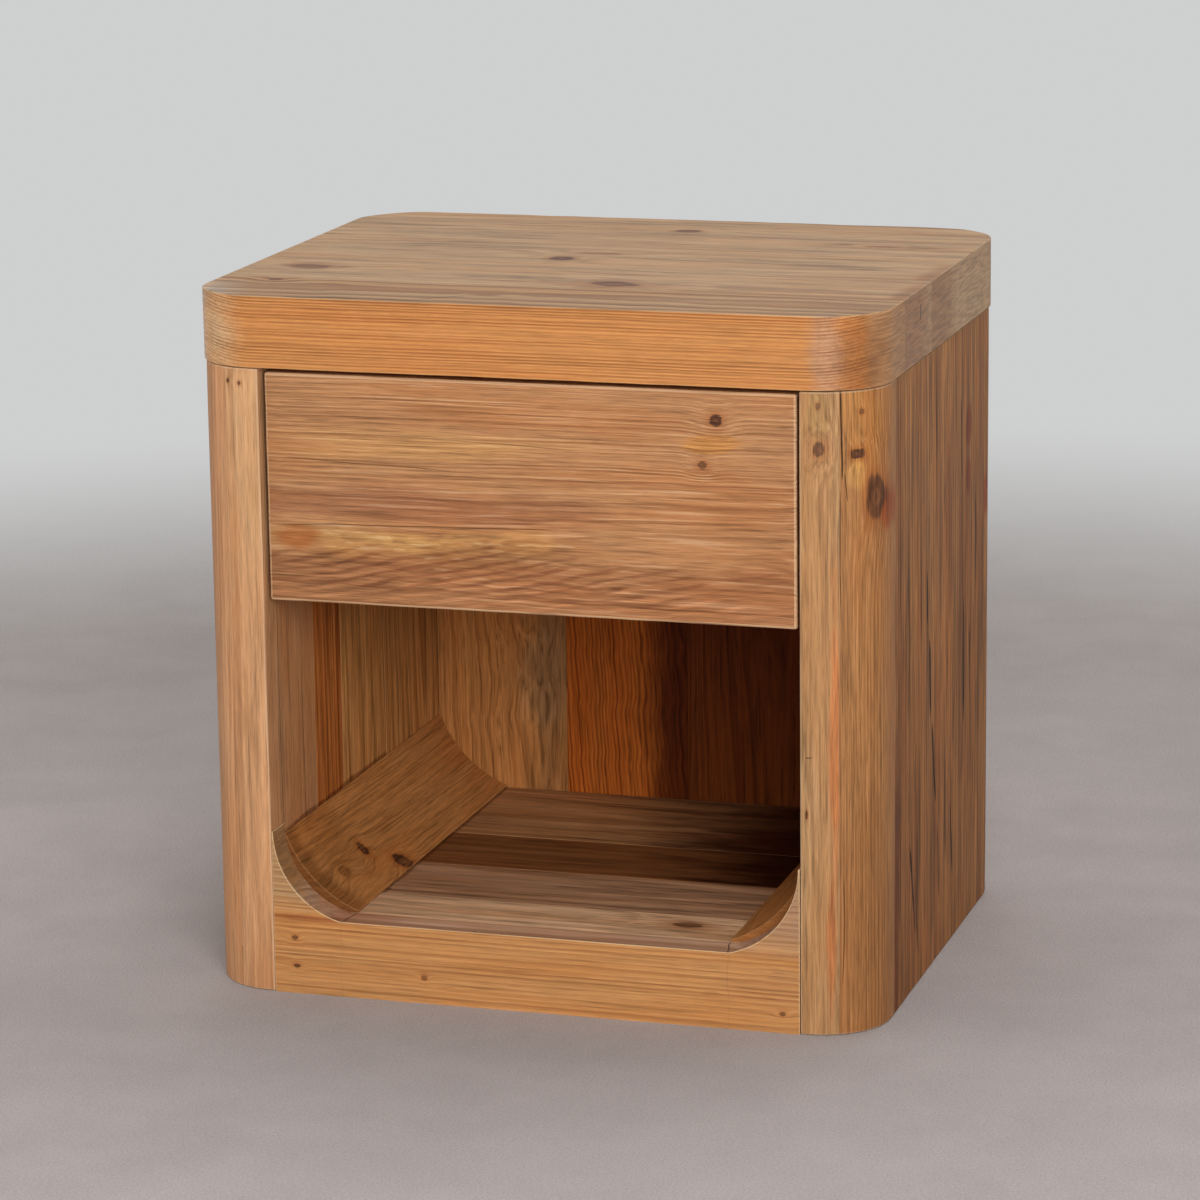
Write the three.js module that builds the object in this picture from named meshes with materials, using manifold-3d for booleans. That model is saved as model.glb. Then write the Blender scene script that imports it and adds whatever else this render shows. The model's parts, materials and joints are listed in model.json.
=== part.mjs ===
// A bedside table in solid pine. A thick top with rounded corners lies on two laminated side panels.
// One drawer runs on ball-bearing slides over an open compartment, whose floor meets the side panels
// in hollow coves. Millimetres, +Z up. The origin is on the ground under the middle of the table,
// and the front faces -Y.

import * as THREE from 'three';
import { mergeVertices } from 'three/addons/utils/BufferGeometryUtils.js';
import Module from 'manifold-3d';

// ---------------------------------------------------------------------------------------------
// Driving dimensions
// ---------------------------------------------------------------------------------------------

// The whole table
const bodyWidth = 500; // over the side panels
const bodyDepth = 412; // front to rear edge of the side panels
const overallHeight = 510;
const cornerRadius = 50; // upright corners of the body, in plan
const jointGap = 0.3; // glue line, or the air between two pieces that touch

// Top
const topThickness = 52;
const topOverhang = 1.5; // past the side panels, all round
const topArris = 4; // rounding of the top's edges
const topBoardShares = [1, 1, 1, 1, 1];

// Side panels: an inner and an outer layer of upright staves
const layerThickness = 27;
const cornerStaveMargin = 9; // straight part of the staves that carry the rounded corners
const outerStaveShares = [0.29, 0.355, 0.355];
const innerStaveShares = [0.235, 0.139, 0.235, 0.391];

// Back: upright boards between the side panels
const backThickness = 27;
const backRecess = 9; // in from the rear edge of the side panels
const backBoardShares = [107, 99, 98, 88];
const battenDepth = 20;
const battenHeight = 22;

// Floor of the compartment
const floorHeight = 56; // upper face, over the ground
const floorThickness = 20;
const floorBoardShares = [53, 83, 83, 133];
const cleatThickness = 24;
const cleatHeight = 28;

// Front rail, with ends that curve up the side panels
const railThickness = 24;
const railCoveRadius = 66;
const railCoveDip = 2; // how far the circle of that curve would reach under the floor's upper face
const railTip = 1; // thickness left where the curve runs out on the side panel

// Coves along the foot of each side panel
const coveLeg = 56; // along the floor and up the side panel
const coveHollow = 8.25; // depth of the hollow under the chord
const coveEdge = 1.5; // blunt edge on the floor and on the side panel

// Drawer front
const drawerFrontThickness = 25;
const drawerFrontHeight = 165;
const drawerRecess = 5; // behind the front edges of the side panels
const drawerSideGap = 2.5;
const drawerTopGap = 3;

// Drawer box
const boxWall = 14;
const boxHeight = 128;
const boxRearGap = 6.7; // to the batten behind the drawer
const fingerLip = 13; // how far the drawer front hangs below the box
const bottomThickness = 6;
const bottomInset = 8; // underside of the box to underside of the bottom
const grooveDepth = 6;

// Drawer slides: three nested steel channels on each side
const slideSpace = 12.7; // between the side panel and the drawer box
const slideHeight = 45;
const slideSetback = 5; // behind the drawer front
const slideRearSetback = 13; // in front of the drawer box's rear
const slideRise = 40; // underside of the box to the middle of the slide
const slideSteel = 1.2;
const slideWebGap = 1.2; // sideways clearance between the channels
const slideBallGap = 1; // clearance over and under the nested channels, for the balls

// Dowels between the top and the side panels
const dowelRadius = 5;
const dowelDepth = 30; // in each of the two pieces
const dowelClearance = 0.3;

// Countersunk wood screws
const screwShankRadius = 2;
const screwHeadRadius = 4;
const screwHeadRim = 0.8;
const screwHeadHeight = 3;
const screwPoint = 5;
const screwClearance = 0.3;
const cleatScrewLength = 40;
const frontScrewLength = 30;
const frontScrewInset = 75; // from the inside of the drawer box

// Fineness of the curves
const arcSteps = 16; // steps in a quarter circle
const turnSteps = 20; // steps round a dowel or a screw

// Finishes
const pineTop = { color: 0xb8875a, roughness: 0.6 };
const pineSide = { color: 0xb98d5e, roughness: 0.62 };
const pineInside = { color: 0xa1774c, roughness: 0.65 };
const pineFloor = { color: 0x9c7650, roughness: 0.62 };
const pineFront = { color: 0xbb8655, roughness: 0.6 };
const pineBox = { color: 0xc9a878, roughness: 0.7 };
const plywood = { color: 0xcdb48c, roughness: 0.75 };
const beech = { color: 0xd2b084, roughness: 0.7 };
const zincSteel = { color: 0xb4b6b8, roughness: 0.35, metalness: 0.9 };

// ---------------------------------------------------------------------------------------------
// Places that follow from the dimensions
// ---------------------------------------------------------------------------------------------

const topUnderside = overallHeight - topThickness;
const openingHalf = bodyWidth / 2 - 2 * layerThickness;
const layerSeam = openingHalf + layerThickness;
const bodyFront = -bodyDepth / 2;
const bodyRear = bodyDepth / 2;
const railRear = bodyFront + railThickness;
const backFace = bodyRear - backRecess - backThickness;
const floorUnderside = floorHeight - floorThickness;

const drawerFace = bodyFront + drawerRecess;
const boxFront = drawerFace + drawerFrontThickness;
const boxRear = backFace - jointGap - battenDepth - boxRearGap;
const drawerFrontTop = topUnderside - drawerTopGap;
const drawerFrontFoot = drawerFrontTop - drawerFrontHeight;
const boxFoot = drawerFrontFoot + fingerLip;
const boxTop = boxFoot + boxHeight;
const boxHalf = openingHalf - slideSpace;
const bottomFoot = boxFoot + bottomInset;

// ---------------------------------------------------------------------------------------------
// Solids
// ---------------------------------------------------------------------------------------------

const wasm = await Module();
wasm.setup();

/** A three.js geometry as a solid that can be cut. */
function solidOf(geometry) {
  const bare = geometry.clone();
  bare.deleteAttribute('normal');
  bare.deleteAttribute('uv');
  const merged = mergeVertices(bare, 1e-4);
  const vertProperties = new Float32Array(merged.attributes.position.array);
  const triVerts = new Uint32Array(merged.index.array);
  return new wasm.Manifold(new wasm.Mesh({ numProp: 3, vertProperties, triVerts }));
}

/** A solid as a three.js geometry with flat faces. */
function geometryOf(solid) {
  const mesh = solid.getMesh();
  const indexed = new THREE.BufferGeometry();
  indexed.setAttribute('position', new THREE.BufferAttribute(new Float32Array(mesh.vertProperties), 3));
  indexed.setIndex(new THREE.BufferAttribute(new Uint32Array(mesh.triVerts), 1));
  const geometry = indexed.toNonIndexed();
  geometry.computeVertexNormals();
  return geometry;
}

/** A block between two limits along each axis. */
function block([x0, x1], [y0, y1], [z0, z1]) {
  const geometry = new THREE.BoxGeometry(x1 - x0, y1 - y0, z1 - z0);
  return geometry.translate((x0 + x1) / 2, (y0 + y1) / 2, (z0 + z1) / 2);
}

/** Splits a span into neighbouring boards, with a joint between each two. */
function splitSpan([start, end], shares) {
  const total = shares.reduce((sum, share) => sum + share, 0);
  const boards = [];
  let edge = start;
  for (const share of shares) {
    const next = edge + ((end - start) * share) / total;
    boards.push([edge, next]);
    edge = next;
  }
  return boards.map(([low, high], index) => [
    index === 0 ? low : low + jointGap / 2,
    index === boards.length - 1 ? high : high - jointGap / 2,
  ]);
}

/** A rectangle with rounded corners, seen from above. */
function roundedPlan(halfWidth, halfDepth, radius) {
  const x = halfWidth - radius;
  const y = halfDepth - radius;
  const plan = new THREE.Shape();
  plan.absarc(x, -y, radius, -Math.PI / 2, 0);
  plan.absarc(x, y, radius, 0, Math.PI / 2);
  plan.absarc(-x, y, radius, Math.PI / 2, Math.PI);
  plan.absarc(-x, -y, radius, Math.PI, 1.5 * Math.PI);
  return plan;
}

/** Points along an arc of a circle, both ends included. */
function arcPoints(centreX, centreY, radius, from, to) {
  const points = [];
  for (let step = 0; step <= arcSteps; step += 1) {
    const angle = from + ((to - from) * step) / arcSteps;
    points.push([centreX + radius * Math.cos(angle), centreY + radius * Math.sin(angle)]);
  }
  return points;
}

/** A profile of [x, z] points, run along Y. */
function profileAlongY(points, [y0, y1]) {
  const shape = new THREE.Shape(points.map(([x, z]) => new THREE.Vector2(x, z)));
  const geometry = new THREE.ExtrudeGeometry(shape, { depth: y1 - y0, bevelEnabled: false });
  return geometry.rotateX(Math.PI / 2).translate(0, y1, 0);
}

// ---------------------------------------------------------------------------------------------
// Scene graph
// ---------------------------------------------------------------------------------------------

const nightstand = new THREE.Group();
nightstand.name = 'nightstand';

/** Adds one piece, as a mesh with its own material, to a group. */
function addPiece(group, name, geometry, finish) {
  const mesh = new THREE.Mesh(geometry, new THREE.MeshStandardMaterial(finish));
  mesh.name = name;
  group.add(mesh);
}

/** Adds a group of pieces to the table. */
function addGroup(name) {
  const group = new THREE.Group();
  group.name = name;
  nightstand.add(group);
  return group;
}

// ---------------------------------------------------------------------------------------------
// Dowels and screws
// ---------------------------------------------------------------------------------------------

const topBoardSpans = splitSpan([bodyFront - topOverhang, bodyRear + topOverhang], topBoardShares);
const dowelRows = { front: topBoardSpans[0], rear: topBoardSpans.at(-1) };
const dowelPlaces = [];
for (const [row, [y0, y1]] of Object.entries(dowelRows)) {
  for (const [side, sign] of [['left', -1], ['right', 1]]) {
    const x = sign * (openingHalf + layerThickness / 2);
    dowelPlaces.push({ name: `top_dowel_${side}_${row}`, x, y: (y0 + y1) / 2 });
  }
}

/** An upright cylinder across the joint under the top. */
function dowelCylinder({ x, y }, clearance) {
  const length = 2 * (dowelDepth + clearance);
  const geometry = new THREE.CylinderGeometry(dowelRadius + clearance, dowelRadius + clearance, length, turnSteps);
  return geometry.rotateX(Math.PI / 2).translate(x, y, topUnderside);
}

const dowelHoles = dowelPlaces.map((place) => solidOf(dowelCylinder(place, dowelClearance)));

/** A screw whose head is flush at a point, or, with a clearance, the hole for it. */
function screwGeometry(point, direction, length, clearance = 0) {
  const mouth = -3 * clearance;
  const shank = screwShankRadius + clearance;
  const head = screwHeadRadius + clearance;
  const profile = [
    [0, mouth],
    [head, mouth],
    [head, screwHeadRim + clearance],
    [shank, screwHeadHeight + clearance],
    [shank, length - screwPoint],
    [0, length + 3 * clearance],
  ];
  const points = profile.map(([radius, along]) => new THREE.Vector2(radius, along));
  const geometry = new THREE.LatheGeometry(points, turnSteps);
  const turn = new THREE.Quaternion().setFromUnitVectors(new THREE.Vector3(0, 1, 0), direction);
  return geometry.applyQuaternion(turn).translate(point.x, point.y, point.z);
}

/** Cuts every hole that reaches a piece. */
function drilled(solid, holes) {
  return holes.reduce((cut, hole) => cut.subtract(hole), solid);
}

// ---------------------------------------------------------------------------------------------
// Top
// ---------------------------------------------------------------------------------------------

function buildTop() {
  const top = addGroup('top');
  const plan = roundedPlan(bodyWidth / 2 + topOverhang, bodyDepth / 2 + topOverhang, cornerRadius + topOverhang);
  const slab = new THREE.ExtrudeGeometry(plan, {
    depth: topThickness - jointGap - 2 * topArris,
    curveSegments: arcSteps / 2,
    bevelThickness: topArris,
    bevelSize: topArris,
    bevelOffset: -topArris,
    bevelSegments: 3,
  });
  slab.translate(0, 0, topUnderside + jointGap + topArris);
  const slabSolid = solidOf(slab);
  topBoardSpans.forEach((span, index) => {
    const strip = solidOf(block([-bodyWidth, bodyWidth], span, [0, 2 * overallHeight]));
    const board = drilled(slabSolid.intersect(strip), dowelHoles);
    addPiece(top, `top_board_${index + 1}`, geometryOf(board), pineTop);
  });
  for (const place of dowelPlaces) {
    addPiece(top, place.name, dowelCylinder(place, 0), beech);
  }
}

// ---------------------------------------------------------------------------------------------
// Side panels, with the cleats that carry the floor
// ---------------------------------------------------------------------------------------------

const bodyPlan = roundedPlan(bodyWidth / 2, bodyDepth / 2, cornerRadius);
const bodyPrism = solidOf(
  new THREE.ExtrudeGeometry(bodyPlan, {
    depth: 2 * overallHeight,
    curveSegments: arcSteps / 2,
    bevelEnabled: false,
  }).translate(0, 0, -overallHeight / 2),
);

const cornerStave = cornerRadius + cornerStaveMargin;
const middleDepth = bodyDepth - 2 * cornerStave;
const outerStaveWidths = [cornerStave, ...outerStaveShares.map((share) => share * middleDepth), cornerStave];
const outerStaveSpans = splitSpan([bodyFront, bodyRear], outerStaveWidths);
const innerStaveSpans = splitSpan([bodyFront, bodyRear], innerStaveShares);

function buildSide(side, sign) {
  const panel = addGroup(`${side}_side`);
  const across = (near, far) => [sign * near, sign * far].sort((a, b) => a - b);
  const screwHeight = floorUnderside - jointGap - cleatHeight / 2;
  const inwards = new THREE.Vector3(sign, 0, 0);
  const screws = { front: innerStaveSpans[0], rear: innerStaveSpans.at(-1) };
  const screwPlaces = Object.entries(screws).map(([row, [y0, y1]]) => ({
    name: `cleat_screw_${side}_${row}`,
    point: new THREE.Vector3(sign * (openingHalf - jointGap - cleatThickness), (y0 + y1) / 2, screwHeight),
  }));
  const screwHoles = screwPlaces.map(({ point }) =>
    solidOf(screwGeometry(point, inwards, cleatScrewLength, screwClearance)),
  );

  const layers = {
    inner: { spans: innerStaveSpans, x: across(openingHalf, layerSeam - jointGap / 2) },
    outer: { spans: outerStaveSpans, x: across(layerSeam + jointGap / 2, bodyWidth / 2) },
  };
  for (const [layer, { spans, x }] of Object.entries(layers)) {
    spans.forEach((span, index) => {
      const rough = solidOf(block(x, span, [0, topUnderside]));
      const stave = drilled(rough.intersect(bodyPrism), [...dowelHoles, ...screwHoles]);
      addPiece(panel, `${side}_${layer}_stave_${index + 1}`, geometryOf(stave), pineSide);
    });
  }

  const cleat = solidOf(
    block(
      across(openingHalf - jointGap, openingHalf - jointGap - cleatThickness),
      [railRear + jointGap, backFace - jointGap],
      [floorUnderside - jointGap - cleatHeight, floorUnderside - jointGap],
    ),
  );
  addPiece(panel, `${side}_floor_cleat`, geometryOf(drilled(cleat, screwHoles)), pineInside);
  for (const { name, point } of screwPlaces) {
    addPiece(panel, name, screwGeometry(point, inwards, cleatScrewLength), zincSteel);
  }
}

// ---------------------------------------------------------------------------------------------
// Back
// ---------------------------------------------------------------------------------------------

const between = [-openingHalf + jointGap, openingHalf - jointGap]; // fits between the side panels

function buildBack() {
  const back = addGroup('back');
  splitSpan(between, backBoardShares).forEach((span, index) => {
    const board = block(span, [backFace, backFace + backThickness], [0, topUnderside]);
    addPiece(back, `back_board_${index + 1}`, board, pineInside);
  });
  const batten = block(
    between,
    [backFace - jointGap - battenDepth, backFace - jointGap],
    [topUnderside - battenHeight, topUnderside],
  );
  addPiece(back, 'back_batten', batten, pineInside);
}

// ---------------------------------------------------------------------------------------------
// Floor, front rail and coves
// ---------------------------------------------------------------------------------------------

/** Front rail seen from the front: straight along the floor, curving up at both ends. */
function railProfile() {
  const [left, right] = between;
  const centreX = right - railTip - railCoveRadius;
  const rise = railCoveRadius - railCoveDip;
  const centreZ = floorHeight + rise;
  const turn = Math.asin(rise / railCoveRadius);
  return [
    [left, 0],
    [right, 0],
    [right, centreZ],
    ...arcPoints(centreX, centreZ, railCoveRadius, 0, -turn),
    ...arcPoints(-centreX, centreZ, railCoveRadius, Math.PI + turn, Math.PI),
    [left, centreZ],
  ];
}

/** Cove seen from the front, in the corner between the floor and one side panel. */
function coveProfile(sign) {
  const chord = Math.SQRT2 * (coveLeg - coveEdge);
  const radius = chord ** 2 / (8 * coveHollow) + coveHollow / 2;
  const centre = (coveLeg + coveEdge) / 2 + (radius - coveHollow) / Math.SQRT2;
  const low = Math.atan2(coveEdge - centre, coveLeg - centre);
  const high = Math.atan2(coveLeg - centre, coveEdge - centre);
  const fromCorner = [
    [0, 0],
    [coveLeg, 0],
    ...arcPoints(centre, centre, radius, low, high + (high > low ? -2 * Math.PI : 0)),
    [0, coveLeg],
  ];
  return fromCorner.map(([out, up]) => [
    sign * (openingHalf - jointGap - out),
    floorHeight + jointGap + up,
  ]);
}

function buildBase() {
  const base = addGroup('base');
  addPiece(base, 'front_rail', profileAlongY(railProfile(), [bodyFront, railRear]), pineFront);
  const floorDepth = [railRear + jointGap, backFace - jointGap];
  splitSpan(floorDepth, floorBoardShares).forEach((span, index) => {
    addPiece(base, `floor_board_${index + 1}`, block(between, span, [floorUnderside, floorHeight]), pineFloor);
  });
  addPiece(base, 'left_cove', profileAlongY(coveProfile(-1), floorDepth), pineInside);
  addPiece(base, 'right_cove', profileAlongY(coveProfile(1), floorDepth), pineInside);
}

// ---------------------------------------------------------------------------------------------
// Drawer
// ---------------------------------------------------------------------------------------------

function buildDrawer() {
  const drawer = addGroup('drawer');
  const panelHalf = openingHalf - drawerSideGap;
  const insideHalf = boxHalf - boxWall;
  const inside = [-insideHalf + jointGap, insideHalf - jointGap];
  const boxUp = [boxFoot, boxTop];
  const wallFront = [boxFront + jointGap, boxFront + boxWall];
  const wallBack = [boxRear - boxWall, boxRear];

  const screwX = insideHalf - frontScrewInset;
  const forwards = new THREE.Vector3(0, -1, 0);
  const screwPlaces = [['left', -screwX], ['right', screwX]].map(([side, x]) => ({
    name: `drawer_front_screw_${side}`,
    point: new THREE.Vector3(x, boxFront + boxWall, (boxFoot + boxTop) / 2),
  }));
  const screwHoles = screwPlaces.map(({ point }) =>
    solidOf(screwGeometry(point, forwards, frontScrewLength, screwClearance)),
  );

  const grooveHalf = insideHalf + grooveDepth;
  const grooveFront = boxFront + boxWall - grooveDepth;
  const groove = solidOf(
    block(
      [-grooveHalf - jointGap, grooveHalf + jointGap],
      [grooveFront - jointGap, boxRear + jointGap],
      [bottomFoot - jointGap, bottomFoot + bottomThickness + jointGap],
    ),
  );
  const bottom = block(
    [-grooveHalf, grooveHalf],
    [grooveFront, boxRear],
    [bottomFoot, bottomFoot + bottomThickness],
  );

  const front = solidOf(
    block([-panelHalf, panelHalf], [drawerFace, boxFront], [drawerFrontFoot, drawerFrontTop]),
  );
  addPiece(drawer, 'drawer_front', geometryOf(drilled(front, screwHoles)), pineFront);
  const boxFrontWall = solidOf(block(inside, wallFront, boxUp));
  addPiece(drawer, 'drawer_box_front', geometryOf(drilled(boxFrontWall, [...screwHoles, groove])), pineBox);
  for (const [side, sign] of [['left', -1], ['right', 1]]) {
    const x = [sign * insideHalf, sign * boxHalf].sort((a, b) => a - b);
    const wall = solidOf(block(x, [boxFront + jointGap, boxRear], boxUp)).subtract(groove);
    addPiece(drawer, `drawer_${side}_side`, geometryOf(wall), pineBox);
  }
  const backUp = [bottomFoot + bottomThickness + jointGap, boxTop];
  addPiece(drawer, 'drawer_back', block(inside, wallBack, backUp), pineBox);
  addPiece(drawer, 'drawer_bottom', bottom, plywood);
  for (const { name, point } of screwPlaces) {
    addPiece(drawer, name, screwGeometry(point, forwards, frontScrewLength), zincSteel);
  }
}

// ---------------------------------------------------------------------------------------------
// Drawer slides
// ---------------------------------------------------------------------------------------------

function buildSlide(side, sign) {
  const slide = addGroup(`${side}_slide`);
  const along = [boxFront + slideSetback, boxRear - slideRearSetback];
  const middleHeight = boxFoot + slideRise;
  const shellStep = slideSteel + slideWebGap;
  const heightStep = 2 * (slideSteel + slideBallGap);
  const drawerSeat = slideSpace - jointGap; // furthest from the side panel

  // Distances are measured from the side panel towards the drawer.
  const channel = (back, inner, tip, height) => {
    const half = height / 2;
    const lip = half - slideSteel;
    const profile = [
      [back, -half],
      [tip, -half],
      [tip, -lip],
      [inner, -lip],
      [inner, lip],
      [tip, lip],
      [tip, half],
      [back, half],
    ];
    const points = profile.map(([out, up]) => [sign * (openingHalf - out), middleHeight + up]);
    return profileAlongY(points, along);
  };

  const outerBack = jointGap;
  const middleBack = outerBack + shellStep;
  const flangeTip = drawerSeat - shellStep;
  const outer = channel(outerBack, outerBack + slideSteel, flangeTip, slideHeight);
  const middle = channel(middleBack, middleBack + slideSteel, flangeTip, slideHeight - heightStep);
  const inner = channel(
    drawerSeat,
    drawerSeat - slideSteel,
    middleBack + shellStep,
    slideHeight - 2 * heightStep,
  );
  addPiece(slide, `${side}_slide_outer`, outer, zincSteel);
  addPiece(slide, `${side}_slide_middle`, middle, zincSteel);
  addPiece(slide, `${side}_slide_inner`, inner, zincSteel);
}

buildTop();
buildBack();
buildBase();
buildDrawer();
for (const [side, sign] of [['left', -1], ['right', 1]]) {
  buildSide(side, sign);
  buildSlide(side, sign);
}

export default nightstand;
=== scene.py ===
"""Looks of a bedside table in reclaimed pine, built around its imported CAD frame.

The table has a thick top with rounded corners on two laminated side panels, a drawer that is
pulled by its lower edge, and an open compartment whose floor meets the walls in hollow coves.
"""

import json
import logging
import math
from collections.abc import Callable, Iterable, Sequence
from dataclasses import dataclass
from enum import Enum

import bmesh
import bpy
from mathutils import Matrix, Vector, noise


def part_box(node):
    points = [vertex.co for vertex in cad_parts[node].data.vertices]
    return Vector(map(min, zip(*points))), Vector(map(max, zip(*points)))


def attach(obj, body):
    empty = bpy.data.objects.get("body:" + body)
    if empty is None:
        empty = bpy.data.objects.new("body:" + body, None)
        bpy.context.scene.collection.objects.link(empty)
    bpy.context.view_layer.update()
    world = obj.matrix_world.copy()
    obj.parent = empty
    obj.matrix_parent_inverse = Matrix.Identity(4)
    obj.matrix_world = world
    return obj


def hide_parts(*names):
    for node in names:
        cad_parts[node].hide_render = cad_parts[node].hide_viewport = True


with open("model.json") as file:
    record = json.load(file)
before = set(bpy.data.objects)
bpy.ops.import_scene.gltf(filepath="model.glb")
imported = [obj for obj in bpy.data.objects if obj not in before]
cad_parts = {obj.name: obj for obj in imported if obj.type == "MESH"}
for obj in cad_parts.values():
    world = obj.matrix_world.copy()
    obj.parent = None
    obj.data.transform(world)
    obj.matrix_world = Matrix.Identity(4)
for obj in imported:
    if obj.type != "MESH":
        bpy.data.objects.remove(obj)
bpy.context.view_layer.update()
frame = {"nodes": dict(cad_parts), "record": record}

LOG = logging.getLogger("nightstand")

Colour = tuple[float, float, float]
Point = tuple[float, float, float]
Value = bpy.types.NodeSocket | float
Field = bpy.types.NodeSocket | Sequence[float]

MILLIMETRE = 0.001
GLUE_HALF = 0.00014  # half of a glue line, which the boards close up
GROUND = 0.0  # height of the ground, which no worn edge goes below
ARRIS = "arris"  # attribute of the worn, rounded edges
SMOOTH_BELOW = math.radians(46)  # faces that meet at less are shaded as one


# ---------------------------------------------------------------------------------------------
# Shader building
# ---------------------------------------------------------------------------------------------


class Grain(Enum):
    """Direction that the fibres of a board run in, and the order of its grain coordinates."""

    ALONG_X = (0, 1, 2)
    ALONG_Y = (1, 0, 2)
    ALONG_Z = (2, 0, 1)


class Sketch:
    """A material under construction, with short ways to add the nodes it needs."""

    def __init__(self, name: str) -> None:
        """Starts an empty node material.

        Args:
            name: Name of the material.
        """
        self.material = bpy.data.materials.new(name)
        self.material.use_nodes = True
        self.tree = self.material.node_tree
        self.tree.nodes.clear()

    def node(self, kind: str, **settings: object) -> bpy.types.Node:
        """Adds a node and sets its properties.

        Args:
            kind: Node type, without the ShaderNode prefix.
            **settings: Properties of the node.

        Returns:
            The new node.
        """
        made = self.tree.nodes.new("ShaderNode" + kind)
        for key, setting in settings.items():
            setattr(made, key, setting)
        return made

    def feed(self, socket: bpy.types.NodeSocket, source: Value | Field) -> None:
        """Links a socket to an output, or gives it a plain value."""
        if isinstance(source, bpy.types.NodeSocket):
            self.tree.links.new(source, socket)
        else:
            socket.default_value = source

    def math(self, operation: str, first: Value, second: Value = 0.0) -> bpy.types.NodeSocket:
        """Adds a math node and returns its result."""
        made = self.node("Math", operation=operation)
        self.feed(made.inputs[0], first)
        self.feed(made.inputs[1], second)
        return made.outputs[0]

    def vector(self, operation: str, first: Field, second: Field = (0, 0, 0)) -> bpy.types.NodeSocket:
        """Adds a vector math node and returns its vector, or its value for lengths and products."""
        made = self.node("VectorMath", operation=operation)
        self.feed(made.inputs[0], first)
        self.feed(made.inputs[1], second)
        return made.outputs["Value" if operation in ("LENGTH", "DOT_PRODUCT") else "Vector"]

    def scaled(self, vector: Field, factor: Value) -> bpy.types.NodeSocket:
        """Multiplies a vector or a colour by one number."""
        made = self.node("VectorMath", operation="SCALE")
        self.feed(made.inputs[0], vector)
        self.feed(made.inputs["Scale"], factor)
        return made.outputs["Vector"]

    def split(self, vector: bpy.types.NodeSocket) -> list[bpy.types.NodeSocket]:
        """Takes a vector apart into its three numbers."""
        made = self.node("SeparateXYZ")
        self.feed(made.inputs[0], vector)
        return list(made.outputs)

    def joined(self, parts: Sequence[Value]) -> bpy.types.NodeSocket:
        """Puts three numbers together as a vector."""
        made = self.node("CombineXYZ")
        for socket, part in zip(made.inputs, parts):
            self.feed(socket, part)
        return made.outputs[0]

    def ramp(
        self, value: Value, low: float, high: float, start: float = 0.0, end: float = 1.0
    ) -> bpy.types.NodeSocket:
        """Maps a number smoothly from one range onto another.

        Args:
            value: The number.
            low: Value that gives start.
            high: Value that gives end.
            start: Result at low.
            end: Result at high.

        Returns:
            The mapped number.
        """
        rising = high > low
        made = self.node("MapRange", interpolation_type="SMOOTHSTEP")
        ends = (low, high, start, end) if rising else (high, low, end, start)
        for socket, number in zip(made.inputs, (value, *ends)):
            self.feed(socket, number)
        return made.outputs[0]

    def noise(self, at: Field, stretch: Point, shift: float, detail: float = 2.0) -> bpy.types.Node:
        """Adds a noise that is stretched along the axes of its coordinates.

        Args:
            at: Coordinates, in metres.
            stretch: Cells per metre along each axis.
            shift: Moves the pattern, so that no two boards are alike.
            detail: Octaves.

        Returns:
            The noise node.
        """
        placed = self.node("Mapping", vector_type="POINT")
        self.feed(placed.inputs["Vector"], at)
        placed.inputs["Scale"].default_value = stretch
        placed.inputs["Location"].default_value = (shift, 2.3 * shift, 4.1 * shift)
        made = self.node("TexNoise", noise_dimensions="3D")
        self.feed(made.inputs["Vector"], placed.outputs[0])
        made.inputs["Scale"].default_value = 1.0
        made.inputs["Detail"].default_value = detail
        return made

    def blend(
        self, factor: Value, first: Field, second: Field, how: str = "MIX"
    ) -> bpy.types.NodeSocket:
        """Mixes two colours.

        Args:
            factor: Share of the second colour.
            first: First colour.
            second: Second colour.
            how: Blend type.

        Returns:
            The mixed colour.
        """
        made = self.node("Mix", data_type="RGBA", blend_type=how)
        for socket, source in ((0, factor), (6, first), (7, second)):
            plain = socket > 0 and not isinstance(source, bpy.types.NodeSocket)
            self.feed(made.inputs[socket], (*source, 1.0) if plain else source)
        return made.outputs[2]

    def finish(
        self, colour: Field, roughness: Value, height: Value | None, relief: float, **uniform: object
    ) -> None:
        """Adds the surface shader.

        Args:
            colour: Base colour.
            roughness: Roughness.
            height: Height of the relief from 0 to 1, or None for a smooth surface.
            relief: Depth of the relief in metres.
            **uniform: Other sockets of the shader, by name with _ for a space.
        """
        surface = self.node("BsdfPrincipled")
        plain = not isinstance(colour, bpy.types.NodeSocket)
        self.feed(surface.inputs["Base Color"], (*colour, 1.0) if plain else colour)
        self.feed(surface.inputs["Roughness"], roughness)
        for key, setting in uniform.items():
            surface.inputs[key.replace("_", " ")].default_value = setting
        if height is not None:
            bump = self.node("Bump")
            bump.inputs["Strength"].default_value = 1.0
            bump.inputs["Distance"].default_value = relief
            self.feed(bump.inputs["Height"], height)
            self.feed(surface.inputs["Normal"], bump.outputs[0])
        output = self.node("OutputMaterial")
        self.tree.links.new(surface.outputs[0], output.inputs[0])


# ---------------------------------------------------------------------------------------------
# Pine
# ---------------------------------------------------------------------------------------------


@dataclass(frozen=True)
class Knot:
    """A branch that the board was sawn through.

    Attributes:
        at: Where its middle comes out, in mm from the board's left, front and lower corner.
        radius: Its radius across the grain, in mm.
        through: Axis that it runs along: 0, 1 or 2.
        stretch: How much longer it is along the grain.
        lift: How many rings swell around it.
        shade: How dark it is, from 0 to 1.
    """

    at: Point
    radius: float
    through: int
    stretch: float = 1.25
    lift: float = 2.0
    shade: float = 1.0


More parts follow.
